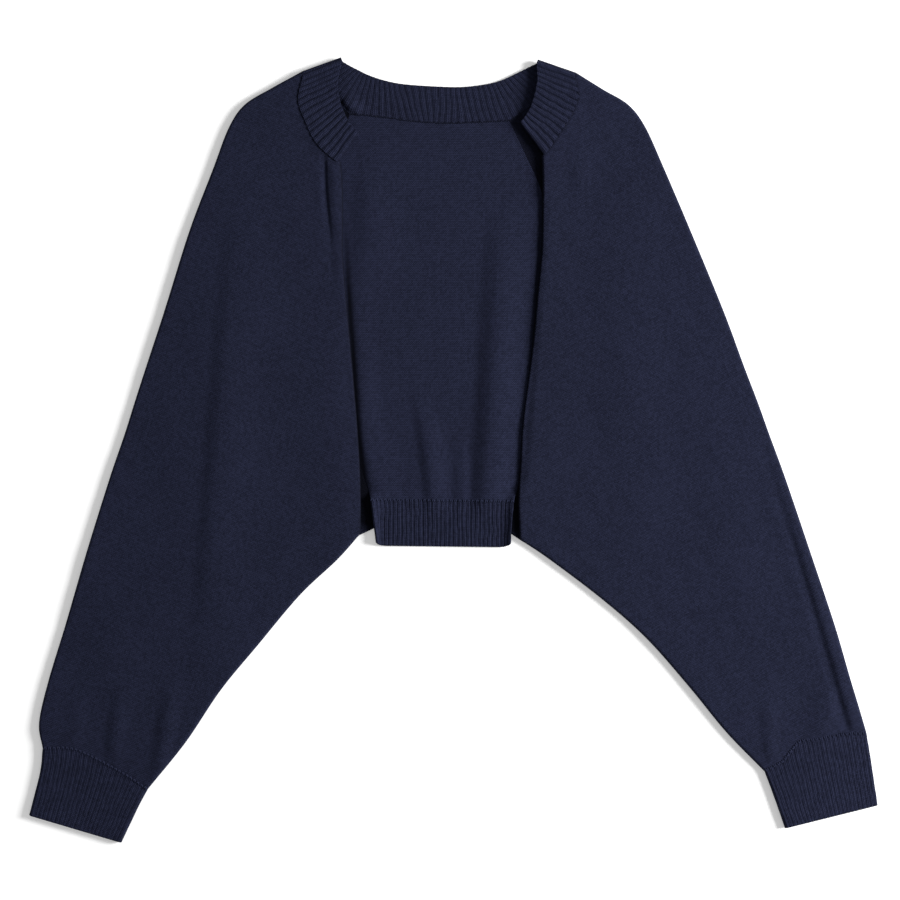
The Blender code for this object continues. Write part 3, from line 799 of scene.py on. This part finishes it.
# %% Making the two sleeves
def make_sleeve(name, node, sleeve, wale_angle, hollow_painted_light):
    """The hollow is the under layer beside the back's seam; its colour holds painted shade, darkest away
    from the neck.
    """
    points, joined_from = sleeve.grid()
    open_air = np.ones(points.shape[:2])
    # Painted shade along the neck seam and on the rims of the front edges.
    open_air[: len(NECK_ROW_PAINTED_LIGHT)] = np.array(NECK_ROW_PAINTED_LIGHT)[:, None]
    open_air[:joined_from, : CURL_STEPS + 1] = RIM_PAINTED_LIGHT
    from_neck = np.linspace(0, 1, joined_from)[:, None]
    # Painted shade in the hollow: its colour is darkened, fading out towards the neck.
    open_air[:joined_from, -HOLLOW_COLUMNS:] = hollow_painted_light * (1 - HOLLOW_FADE * from_neck).clip(0)
    knit = along_wales(points, wale_angle)
    piece = grid_object(name, points, knit, {"open_air": open_air}, joined_from)
    add_wall(piece, CLOTH)
    applied(piece, RIGHT_SIDE)
    fit_piece(piece, node)


make_sleeve("sleeve_left", "left_sleeve", left, LEFT_WALE_ANGLE, 0)
make_sleeve("sleeve_right", "right_sleeve", right, RIGHT_WALE_ANGLE, RIGHT_HOLLOW_PAINTED_LIGHT)

# %% [markdown]
# ## The back
# The back lies flat on the surface and shows its wrong side between the fronts. It is drawn in where
# the hem band is linked on, so a few soft gathers rise from that seam, the longest on the right. The
# band on the back of the neck and the hem band have to follow the same gathers, so the height of the
# back is a function of the place alone, and those two bands ask for it too. Close beside the front
# edges little light gets in, and the back's colour holds painted shadow there. A table like that of
# the folds says where, and how much of the light is painted away.

# %% The height of the back and of the hem seam
HEM_LEFT_LIFT = 5.6
HEM_RIGHT_LIFT = 3.3
HEM_END_LENGTH = 14.0
HEM_SEAM_SHARE = 0.8
HEM_BLEND = 10.0
SIDE_BLEND = 16.0
BACK_RIPPLE_SHARE = 0.5
BACK_SEED = 21


def back_height(places):
    """Height of the middle of the back's cloth over each place."""
    uneven = BACK_RIPPLE_SHARE * ripple(places, BACK_SEED)
    return CLOTH / 2 + np.maximum(relief(BACK_FOLDS, places) + uneven, 0)


def hem_curl(x):
    """How far the ends of the hem band curl up, from 0 to 1, and which end is nearer."""
    on_left = x < 0.5 * (HEM_LEFT.x + HEM_RIGHT.x)
    from_end = np.where(on_left, x - HEM_LEFT.x, HEM_RIGHT.x - x)
    return np.clip(1 - from_end / HEM_END_LENGTH, 0, 1) ** 2, on_left


def hem_seam_height(x, y):
    gathers = relief(BACK_FOLDS, np.stack([x, y], axis=-1)) * HEM_SEAM_SHARE
    curl, on_left = hem_curl(x)
    return CLOTH / 2 + gathers * (1 - curl) + curl * np.where(on_left, HEM_LEFT_LIFT, HEM_RIGHT_LIFT)


# %% Making the back
SEAM_OVERLAP = 0.15
NECK_BEND_REACH = 0.5
BACK_COLUMNS = 130
BACK_ROWS = 170
# Painted shadow on the back's colour beside the front edges; the heights say how much light is painted away.
FRONT_SHADOWS = [
    Fold(-103.2, 215, -96, 95, -86.5, -40, 4, 5.5, 0.1, 1.25, 1.2),
    Fold(-91, 15, -85, -22, -80.5, -50, 7, 6, 0, 0.85, 0.9),
    Fold(83.6, 240, 76, 105, 61.5, -45, 3.6, 5, 0.35, 0.8, 0.9),
]


def make_back():
    shares = np.linspace(0, 1, BACK_COLUMNS + 1)
    insets = np.stack([SEAM_OVERLAP * (2 * shares - 1), 0 * shares], axis=1)
    neck_bend = along(BACK_NECK, shares) - between(left.seam[0], right.seam[0], shares)
    hem = between(np.array(HEM_LEFT), np.array(HEM_RIGHT), [0, 1])
    rows = []
    for down in np.linspace(0, 1, BACK_ROWS + 1):
        sides = [on_curve(sleeve.seam, down * BACK_LAST_STATION) for sleeve in (left, right)]
        to_hem = max(0.0, (down - BACK_HEM_DRAW) / (1 - BACK_HEM_DRAW))
        start, end = np.array(sides) * (1 - to_hem) + hem * to_hem
        flat = between(start, end, shares) + insets + max(0.0, 1 - down / NECK_BEND_REACH) * neck_bend
        near_hem = np.clip(1 - (flat[:, 1] - HEM_LEFT.y) / HEM_BLEND, 0, 1) ** 2
        from_side = np.minimum(shares, 1 - shares) * np.linalg.norm(end - start)
        inside = 1 - np.clip(1 - from_side / SIDE_BLEND, 0, 1) ** 2
        height = CLOTH / 2 + (back_height(flat) - CLOTH / 2) * inside
        height += (hem_seam_height(*flat.T) - height) * near_hem
        rows.append(np.column_stack([flat, height]))
    points = np.array(rows)
    places = points[..., :2].reshape(-1, 2)
    # The back's colour gets its painted shadow here.
    open_air = np.clip(1 - relief(FRONT_SHADOWS, places), 0, 1).reshape(points.shape[:2])
    piece = grid_object("back_of_cardigan", points, points[..., :2] * MM, {"open_air": open_air})
    add_wall(piece, CLOTH)
    applied(piece, WRONG_SIDE)
    fit_piece(piece, "back_panel")


make_back()

# %% [markdown]
# ## Ribs by Geometry Nodes
# A rib repeats all along a band, so a small node tree raises it from the knit coordinates: it takes
# the distance along the band, folds a sine wave into rounded crests with narrow valleys between, and
# pushes the points out along their normals. A little noise lets the ribs wander as real ones do. The
# attribute rib_side says which face of the cloth shows, and rib_sink keeps the crests of an under
# layer on the surface that it rests on. The tree also stores, for the material, how freely light
# reaches each point, and the material paints shade from it: a crest is lit, a valley holds painted
# shade as dark as its rib is strong, and the weaker ribs on the inside of the band are painted a
# little darker even on their crests.


# %% Node trees with named sizes
def new_tree(name, sizes):
    """A Geometry Nodes tree with inputs for the geometry, the named sizes and a material."""
    tree = bpy.data.node_groups.new(name, "GeometryNodeTree")
    kinds = {"Geometry": "Geometry", **dict.fromkeys(sizes, "Float"), "Material": "Material"}
    for title, kind in kinds.items():
        tree.interface.new_socket(title, in_out="INPUT", socket_type="NodeSocket" + kind)
    tree.interface.new_socket("Geometry", in_out="OUTPUT", socket_type="NodeSocketGeometry")
    weave = Weave(tree)
    return weave, weave.add("NodeGroupInput")


def end_tree(weave, given, geometry):
    """Real geometry with its material goes to the output."""
    real = weave.add("GeometryNodeRealizeInstances", sockets={"Geometry": geometry})
    dye = {"Geometry": real.outputs["Geometry"], "Material": given.outputs["Material"]}
    dyed = weave.add("GeometryNodeSetMaterial", sockets=dye)
    weave.add("NodeGroupOutput", sockets={"Geometry": dyed.outputs["Geometry"]})
    return weave.tree


def use_tree(piece, tree, values):
    """Adds the node tree to the piece. Inputs are set by identifier, looked up from their names."""
    nodes = piece.modifiers.new(tree.name, "NODES")
    nodes.node_group = tree
    for socket in tree.interface.items_tree:
        if socket.in_out == "INPUT" and socket.name in values:
            nodes[socket.identifier] = values[socket.name]


# %% The node tree that raises ribs
WANDER_SCALE = 60.0
VALLEY_START = 0.3


def raised_ribs():
    weave, given = new_tree("raised_ribs", ("Rib Pitch", "Rib Height", "Roundness", "Wander"))

    def stored(name, kind):
        read = weave.add("GeometryNodeInputNamedAttribute", {"data_type": kind}, {"Name": name})
        return weave.out(read, "Attribute")

    split = weave.add("ShaderNodeSeparateXYZ", sockets={"Vector": stored("knit", "FLOAT_VECTOR")})
    side = stored("rib_side", "FLOAT")
    noise = weave.add("ShaderNodeTexNoise", sockets={"Scale": WANDER_SCALE, "Detail": 1.0})
    wander = (weave.out(noise, "Fac") - 0.5) * weave.out(given, "Wander")
    turn = (weave.out(split, "X") + wander) / weave.out(given, "Rib Pitch") * math.pi
    crest = turn.sine().size().power(weave.out(given, "Roundness"))
    rise = (crest - stored("rib_sink", "FLOAT")) * side * weave.out(given, "Rib Height")
    strength = side.size()
    # Painted shade: valleys, and the weak ribs on the inside of the band, get less light in the colour.
    open_air = strength.power(VALLEY_START) - (1.0 - crest) * strength
    mark = {"Geometry": given.outputs["Geometry"], "Name": "open_air", "Value": open_air}
    kind = {"data_type": "FLOAT", "domain": "POINT"}
    marked = weave.add("GeometryNodeStoreNamedAttribute", kind, mark)
    way = {"Vector": weave.add("GeometryNodeInputNormal").outputs["Normal"], "Scale": rise}
    push = weave.add("ShaderNodeVectorMath", {"operation": "SCALE"}, way)
    move = {"Geometry": marked.outputs["Geometry"], "Offset": push.outputs["Vector"]}
    moved = weave.add("GeometryNodeSetPosition", sockets=move)
    return end_tree(weave, given, moved.outputs["Geometry"])


RIB_TREE = raised_ribs()

# %% A band with raised ribs
BAND_WALL = 1.7
RIB_ROUNDNESS = 0.9
RIB_WANDER = 3.5


def rib_band(name, points, knit, side, sink, pitch, height, material, joined_from=None):
    piece = grid_object(name, points, knit, {"rib_side": side, "rib_sink": sink}, joined_from)
    sizes = {
        "Rib Pitch": pitch * MM,
        "Rib Height": height * MM,
        "Roundness": RIB_ROUNDNESS,
        "Wander": RIB_WANDER * MM,
        "Material": material,
    }
    use_tree(piece, RIB_TREE, sizes)
    add_wall(piece, BAND_WALL)
    return applied(piece, material)


# %% [markdown]
# ## The neckband
# One ribbed ribbon goes round the neck. It lies on the fronts, folds over at the shoulders, and shows
# its inside along the back of the neck. Its sections join a point of the neck seam to a point of the
# free edge. At each shoulder a few sections turn round the fold.

# %% Sections of the neckband
BAND_SEAM_LIFT = 6.6
BAND_FRONT_LIFT = 6.5
BAND_LOW = 1.0
INSIDE_RIB_SHARE = 0.5
TURN_STEPS = 12


def band_section(seam, free, seam_z, free_z):
    """A section across the neckband, from just inside the cloth that it is linked to."""
    place = seam - SEAM_OVERLAP * unit(free - seam)
    return np.array([*place, seam_z, *free, free_z])


def front_band(sleeve, table):
    rows = smooth(table)
    seam = sleeve.neck_seam(rows[:, 0])
    heights = BAND_SEAM_LIFT, BAND_FRONT_LIFT
    return [band_section(place, row[1:3], *heights) for place, row in zip(seam, rows)]


def back_band():
    rows = smooth(BACK_BAND)
    edge = np.vstack([left.corners(0)[0], smooth(BACK_NECK), right.corners(0)[0]])
    places = spread(edge, rows[:, 0])
    return [band_section(place, row[1:3], BAND_LOW, BAND_LOW) for place, row in zip(places, rows)]


def shoulder_turn(sleeve, top, under):
    """Sections round the fold of the neckband at a shoulder, and which side of the cloth shows."""
    sections, sides = [], []
    middle = 0.5 * (top + under)
    run = unit(middle[3:5] - middle[0:2])
    square = np.array([-run[1], run[0]])
    square = square if square[1] > 0 else -square
    outs = {0: -sleeve.corners(0)[4], 3: square}
    for step in range(1, TURN_STEPS):
        turn = math.pi * step / TURN_STEPS
        section = middle.copy()
        for start, out in outs.items():
            radius = (top[start + 2] - under[start + 2]) / 2
            section[start : start + 2] += math.sin(turn) * radius * out
            section[start + 2] += math.cos(turn) * radius
        sections.append(section)
        sides.append(math.cos(turn) * (1.0 if turn < 0.5 * math.pi else INSIDE_RIB_SHARE))
    return sections, sides


# %% Making the neckband
NECK_RIB_PITCH = 5.7
NECK_RIB_HEIGHT = 1.0
NECK_COLUMNS_PER_RIB = 12
NECK_ROWS = 28
SURE_OF_BACK = 0.999


def make_neckband():
    on_left, on_back, on_right = front_band(left, LEFT_BAND), back_band(), front_band(right, RIGHT_BAND)
    left_turn, left_sides = shoulder_turn(left, on_left[0], on_back[0])
    right_turn, right_sides = shoulder_turn(right, on_right[0], on_back[-1])
    sections = on_left[::-1] + left_turn + on_back + right_turn[::-1] + on_right
    sides = [1.0] * len(on_left) + left_sides + [-INSIDE_RIB_SHARE] * len(on_back)
    sides += right_sides[::-1] + [1.0] * len(on_right)
    table = np.array([np.append(section, side) for section, side in zip(sections, sides)])
    middle = 0.5 * (table[:, 0:3] + table[:, 3:6])
    lengths = path_lengths(middle)
    ribs = round(lengths[-1] / NECK_RIB_PITCH)
    wanted = np.linspace(0, lengths[-1], NECK_COLUMNS_PER_RIB * ribs + 1)
    columns = np.stack([np.interp(wanted, lengths, column) for column in table.T], axis=1)
    shares = np.linspace(0, 1, NECK_ROWS + 1)
    points = np.array([between(column[0:3], column[3:6], shares) for column in columns])
    on_back_part = columns[:, 6] < -SURE_OF_BACK * INSIDE_RIB_SHARE
    for number in np.flatnonzero(on_back_part):
        points[number, :, 2] = back_height(points[number, :, :2])
    widths = np.linalg.norm(columns[:, 3:6] - columns[:, 0:3], axis=1)
    knit = np.stack([np.repeat(wanted[:, None], NECK_ROWS + 1, 1), widths[:, None] * shares], axis=-1) * MM
    side = np.repeat(columns[:, 6:7], NECK_ROWS + 1, 1)
    pitch = lengths[-1] / ribs
    piece = rib_band("neckband_ribbed", points, knit, side, 0 * side, pitch, NECK_RIB_HEIGHT, NECK_RIB)
    fit_piece(piece, "neckband")
    print("neckband ribs:", ribs)


make_neckband()

# %% [markdown]
# ## Hem band and cuffs
# The hem band is a flat strip. Its ends curl up a little, most at the left, where it leaves a hollow
# beside the front, dark from its shadow and from painted shade on the sleeve and the back. A cuff is
# a ribbed tube pressed flat, with the ribs all the way round.

# %% Making the hem band
FINE_RIB_PITCH = 4.1
HEM_RIB_HEIGHT = 0.52
HEM_DEPTH = 44.0
HEM_LEFT_DRAW = 5.5
HEM_RIGHT_DRAW = 3.0
HEM_CORNER_ROUND = 0.07
HEM_ROWS = 40
FINE_COLUMNS_PER_RIB = 10


def make_hem_band():
    width = HEM_RIGHT.x - HEM_LEFT.x
    ribs = round(width / FINE_RIB_PITCH)
    shares = np.linspace(0, 1, FINE_COLUMNS_PER_RIB * ribs + 1)
    downs = np.linspace(0, 1, HEM_ROWS + 1)
    seam = between(np.array(HEM_LEFT), np.array(HEM_RIGHT), shares)
    curl, on_left = hem_curl(seam[:, 0])
    flat_lift = CLOTH / 2 + curl * np.where(on_left, HEM_LEFT_LIFT, HEM_RIGHT_LIFT)
    seam_lift = hem_seam_height(*seam.T)
    draw = curl * np.where(on_left, HEM_LEFT_DRAW, -HEM_RIGHT_DRAW)
    fade = (1 - downs) ** 3
    x = seam[:, :1] + draw[:, None] * downs
    y = seam[:, 1:] + SEAM_OVERLAP - HEM_DEPTH * downs * (1 - HEM_CORNER_ROUND * curl[:, None])
    z = flat_lift[:, None] + (seam_lift - flat_lift)[:, None] * fade
    points = np.stack([x, y, z], axis=-1)
    knit = np.stack(np.broadcast_arrays(shares[:, None] * width, downs * HEM_DEPTH), axis=-1) * MM
    side = np.ones(points.shape[:2])
    piece = rib_band("hem_band_ribbed", points, knit, side, 0 * side, width / ribs, HEM_RIB_HEIGHT, HEM_RIB)
    fit_piece(piece, "hem_band")
    print("hem ribs:", ribs)


make_hem_band()

# %% [markdown]
# ## Joining a cuff to its sleeve
# A cuff has its own slant, but its first row has to meet the mouth of the sleeve all the way round.
# So each point of the cuff is moved by as much as the first point of its column is off the seam, and
# less and less of that towards the free edge.

# %% Columns of a cuff, and the mouth that they meet
CUFF_TURN_STEPS = 10
CUFF_UNDER_PER_RIB = 6


def cuff_columns(ribs):
    """Share of the way in and turn of each column; 0 is the top layer and pi the under layer."""
    turns = [math.pi * step / CUFF_TURN_STEPS for step in range(1, CUFF_TURN_STEPS)]
    half = CUFF_UNDER_PER_RIB * ribs // 2
    under = [(share, math.pi) for share in np.linspace(0, 1, 2 * half + 1)]
    top = [(share, 0.0) for share in np.linspace(0, 1, FINE_COLUMNS_PER_RIB * ribs + 1)]
    outer_side = [(0.0, turn) for turn in turns[::-1]]
    inner_side = [(1.0, turn) for turn in turns]
    return under[half::-1] + outer_side + top + inner_side + under[: half - 1 : -1]


def sleeve_mouth(sleeve, share, turn):
    """The point of the sleeve's last row that a column of the cuff meets."""
    start, end, fold_radius, edge_radius, from_fold, edge_reach = sleeve.corners(sleeve.last)
    if turn in (0.0, math.pi):
        place = sleeve.cuff_seam([share])[0] if turn == 0.0 else between(start, end, [share])[0]
    elif share == 0.0:
        place = start - math.sin(turn) * fold_radius * from_fold
    else:
        place = end - math.sin(turn) * edge_reach
    height = CLOTH / 2 + (CLOTH + CUFF_LAYER_GAP) * (0.5 + 0.5 * math.cos(turn))
    return np.array([*place, height])


# %% Making the cuffs
CUFF_RIB_HEIGHT = 0.36
CUFF_ROWS = 44


def cuff_points(sleeve, outer, inner, columns):
    """Points of the pressed tube, a column for each share and turn."""
    radius = (CLOTH + CUFF_LAYER_GAP) / 2
    fade = (1 - np.linspace(0, 1, CUFF_ROWS + 1)) ** 2
    across = np.array([unit(b - a) for a, b in zip(outer, inner)])
    inset = (CLOTH / 2 + radius) * across
    points = []
    for share, turn in columns:
        place = (outer + inset) * (1 - share) + (inner - inset) * share
        place = place + (-across if share == 0 else across) * math.sin(turn) * radius
        height = np.full(len(place), CLOTH / 2 + radius + math.cos(turn) * radius)
        column = np.column_stack([place, height])
        column += np.outer(fade, sleeve_mouth(sleeve, share, turn) - column[0])
        points.append(column)
    return np.array(points)


def make_cuff(name, node, sleeve, table, outward):
    table = np.array(table, float)
    downs = np.linspace(0, 1, CUFF_ROWS + 1)
    outer, inner = along(table[:, 0:2], downs), along(table[:, 2:4], downs)
    ribs = round(np.linalg.norm(outer[0] - inner[0]) / FINE_RIB_PITCH)
    columns = cuff_columns(ribs)
    points = cuff_points(sleeve, outer, inner, columns)
    round_it = path_lengths(points[:, CUFF_ROWS // 2])
    depth = path_lengths(points[len(points) // 2])
    whole = round(round_it[-1] / FINE_RIB_PITCH)
    knit = np.stack(np.broadcast_arrays(round_it, depth[:, None]), axis=-1) * MM
    side = np.full(knit.shape[:2], float(outward))
    sink = np.broadcast_to([0.5 - 0.5 * math.cos(turn) for share, turn in columns], side.shape)
    pitch, rows = round_it[-1] / whole, points.transpose(1, 0, 2)
    piece = rib_band(name, rows, knit, side, sink, pitch, CUFF_RIB_HEIGHT, CUFF_RIB, joined_from=0)
    fit_piece(piece, node)
    print(name, "ribs all round:", whole)


make_cuff("cuff_left_ribbed", "left_cuff", left, LEFT_CUFF, -1)
make_cuff("cuff_right_ribbed", "right_cuff", right, RIGHT_CUFF, 1)

# %% [markdown]
# ## Linking stitches
# Bands are linked to the body stitch by stitch, and that leaves a row of small slanted stitches on
# every seam. One stitch is two short grains of yarn that lean towards each other like a V. A second
# node tree spaces points along the seam, sets a stitch on each, turns it with the seam and varies its
# length a little. A grain is the plainest ball of triangles, because there are hundreds of them.

# %% The node tree that sets stitches
GRAIN_RADIUS = 0.54
GRAIN_SPREAD = 0.55
LEAST_LENGTH = 0.8
LENGTH_RANGE = 0.4
LENGTH_SEED = 5


def linking_stitches():
    weave, given = new_tree("linking_stitches", ("Stitch Pitch", "Stitch Length", "Yarn Thickness", "Slant"))

    def vector(**sizes):
        return weave.add("ShaderNodeCombineXYZ", sockets=sizes).outputs["Vector"]

    length, thick = weave.out(given, "Stitch Length"), weave.out(given, "Yarn Thickness")
    ball = weave.add("GeometryNodeMeshIcoSphere", sockets={"Radius": GRAIN_RADIUS, "Subdivisions": 1})
    joined = weave.add("GeometryNodeJoinGeometry")
    for lean in (1.0, -1.0):
        form = {
            "Geometry": ball.outputs["Mesh"],
            "Translation": vector(X=thick * (GRAIN_SPREAD * lean)),
            "Rotation": vector(Z=weave.out(given, "Slant") * lean),
            "Scale": vector(X=thick, Y=length, Z=thick),
        }
        grain = weave.add("GeometryNodeTransform", sockets=form)
        weave.plug(joined.inputs["Geometry"], grain.outputs["Geometry"])
    line = weave.add("GeometryNodeMeshToCurve", sockets={"Mesh": given.outputs["Geometry"]})
    pitch = {"Curve": line.outputs["Curve"], "Length": weave.out(given, "Stitch Pitch")}
    spaced = weave.add("GeometryNodeResampleCurve", {"mode": "LENGTH"}, pitch)
    seam_way = {"Vector": weave.add("GeometryNodeInputTangent").outputs["Tangent"]}
    turn = weave.add("FunctionNodeAlignRotationToVector", {"axis": "X", "pivot_axis": "Z"}, seam_way)
    uneven = weave.add("FunctionNodeRandomValue", {"data_type": "FLOAT"}, {"Seed": LENGTH_SEED})
    stretch = weave.out(uneven, "Value") * LENGTH_RANGE + LEAST_LENGTH
    places = {
        "Points": spaced.outputs["Curve"],
        "Instance": joined.outputs["Geometry"],
        "Rotation": turn.outputs["Rotation"],
        "Scale": vector(X=1.0, Y=stretch, Z=1.0),
    }
    placed = weave.add("GeometryNodeInstanceOnPoints", sockets=places)
    return end_tree(weave, given, placed.outputs["Instances"])


STITCH_TREE = linking_stitches()

# %% Yarn of the stitches, with its relief in metres
FIBRE_BUMP = 0.6
FIBRE_RELIEF = 0.0003


def yarn_material(name, colour):
    """Plain yarn with the fine unevenness of its fibres."""

    def fill(weave):
        spot = weave.add("ShaderNodeTexCoord").outputs["Object"]
        return yarn_shader(weave, colour, FIBRE_BUMP, FIBRE_RELIEF, soft_noise(weave, spot, FIBRE_SCALE))

    return make_material(name, fill)


# Lit and shaded copies of one yarn: the first holds painted light, the second painted shade at about 0.4 of
# its colour.
PAINTED_LIT_YARN = yarn_material("linking_yarn", (0.0178, 0.0208, 0.0440, 1.0))
PAINTED_SHADE_YARN = yarn_material("linking_yarn_painted_shade", (0.0070, 0.0082, 0.0175, 1.0))
print("yarns of the stitches:", PAINTED_LIT_YARN.name, PAINTED_SHADE_YARN.name)

# %% [markdown]
# ## Stitches on each seam
# The path of a seam is a plain line of points on top of the cloth. The yarn of the stitches comes in two
# copies of one colour, a lighter one with painted light and a darker one with painted shade. The seams
# of the cuffs and of the hem show the bright tops of the first rib stitches in the lighter copy. The
# seam at the back of the neck, the chain on the inside, and the seams of the fronts, which lie a little
# in the shade of the band, take the darker copy.

# %% Setting the stitches
Stitch = namedtuple("Stitch", "pitch length thickness slant")
RIB_STITCH = Stitch(4.1, 3.2, 1.4, 0.45)
CHAIN_STITCH = Stitch(3.3, 3.2, 1.15, 0.95)
FRONT_STITCH = Stitch(2.85, 2.2, 0.9, 0.45)
SEAM_TOP = CLOTH / 2 + 0.1
SEAM_POINTS = 120
FRONT_SEAM_INSET = 4


def stitch_row(name, path, stitch, yarn):
    mesh = bpy.data.meshes.new(name)
    edges = [(number, number + 1) for number in range(len(path) - 1)]
    mesh.from_pydata((np.array(path) * MM).tolist(), edges, [])
    piece = add_object(name, mesh)
    sizes = {
        "Stitch Pitch": stitch.pitch * MM,
        "Stitch Length": stitch.length * MM,
        "Yarn Thickness": stitch.thickness * MM,
        "Slant": stitch.slant,
        "Material": yarn,
    }
    use_tree(piece, STITCH_TREE, sizes)
    applied(piece, yarn)
    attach(piece, BODY)
    print(name, "has", len(piece.data.polygons), "faces")


def over(places, height):
    """A path at the given height over places."""
    return np.column_stack([places, np.broadcast_to(height, len(places))])


def sew_seams():
    shares = np.linspace(0, 1, SEAM_POINTS)
    for name, sleeve in (("left", left), ("right", right)):
        mouth = np.array([sleeve_mouth(sleeve, share, 0.0) for share in shares])
        mouth[:, 2] += SEAM_TOP
        stitch_row("stitches_" + name + "_cuff", mouth, RIB_STITCH, PAINTED_LIT_YARN)
        seam = sleeve.neck_seam(shares[FRONT_SEAM_INSET:-FRONT_SEAM_INSET])
        front = over(seam, BAND_SEAM_LIFT + SEAM_TOP)
        stitch_row("stitches_" + name + "_front", front, FRONT_STITCH, PAINTED_SHADE_YARN)
    neck = along(BACK_NECK, shares)
    stitch_row("stitches_back_neck", over(neck, back_height(neck) + SEAM_TOP), CHAIN_STITCH, PAINTED_SHADE_YARN)
    hem = between(np.array(HEM_LEFT), np.array(HEM_RIGHT), shares[1:-1])
    stitch_row("stitches_hem", over(hem, hem_seam_height(*hem.T) + SEAM_TOP), RIB_STITCH, PAINTED_LIT_YARN)


sew_seams()

# %% [markdown]
# ## Floor and light
# The garment lies on a plain white floor that glows a little, like a light table, so its shadows stay
# faint. One softbox stands low on the right, a little towards the neck, so that folds are bright on
# their right and dark on their left. A pale sky fills the rest.

# %% The floor, its size in metres
FLOOR_SIZE = 4.0
FLOOR_DROP = 0.0004
FLOOR_PAINT = {
    "Base Color": (0.9, 0.9, 0.9, 1.0),
    "Roughness": 0.95,
    "Specular IOR Level": 0.0,
    "Emission Color": (1.0, 1.0, 1.0, 1.0),
    "Emission Strength": 0.3,
}


def make_floor():
    half = FLOOR_SIZE / 2
    corners = [(-half, -half), (half, -half), (half, half), (-half, half)]
    mesh = bpy.data.meshes.new("floor")
    mesh.from_pydata([(x, y, -FLOOR_DROP) for x, y in corners], [], [(0, 1, 2, 3)])
    mesh.materials.append(make_material("white_floor", lambda weave: FLOOR_PAINT))
    floor = add_object("floor", mesh)


make_floor()

# %% Softbox and sky, placed in metres
KEY_POWER = 206.0
KEY_SIZE = 1.1
KEY_PLACE = (2.8, 0.35, 1.36)
SKY_STRENGTH = 0.31
WHITE = (1.0, 1.0, 1.0, 1.0)


def make_light():
    lamp = bpy.data.lights.new("softbox", "AREA")
    lamp.shape = "SQUARE"
    lamp.size = KEY_SIZE
    lamp.energy = KEY_POWER
    softbox = add_object("softbox", lamp)
    softbox.location = KEY_PLACE
    softbox.rotation_euler = (-softbox.location).to_track_quat("-Z", "Y").to_euler()
    sky = bpy.data.worlds.new("studio")
    sky.use_nodes = True
    background = sky.node_tree.nodes["Background"]
    background.inputs["Color"].default_value = WHITE
    background.inputs["Strength"].default_value = SKY_STRENGTH
    bpy.context.scene.world = sky
    bpy.context.scene.view_settings.view_transform = "Standard"


make_light()
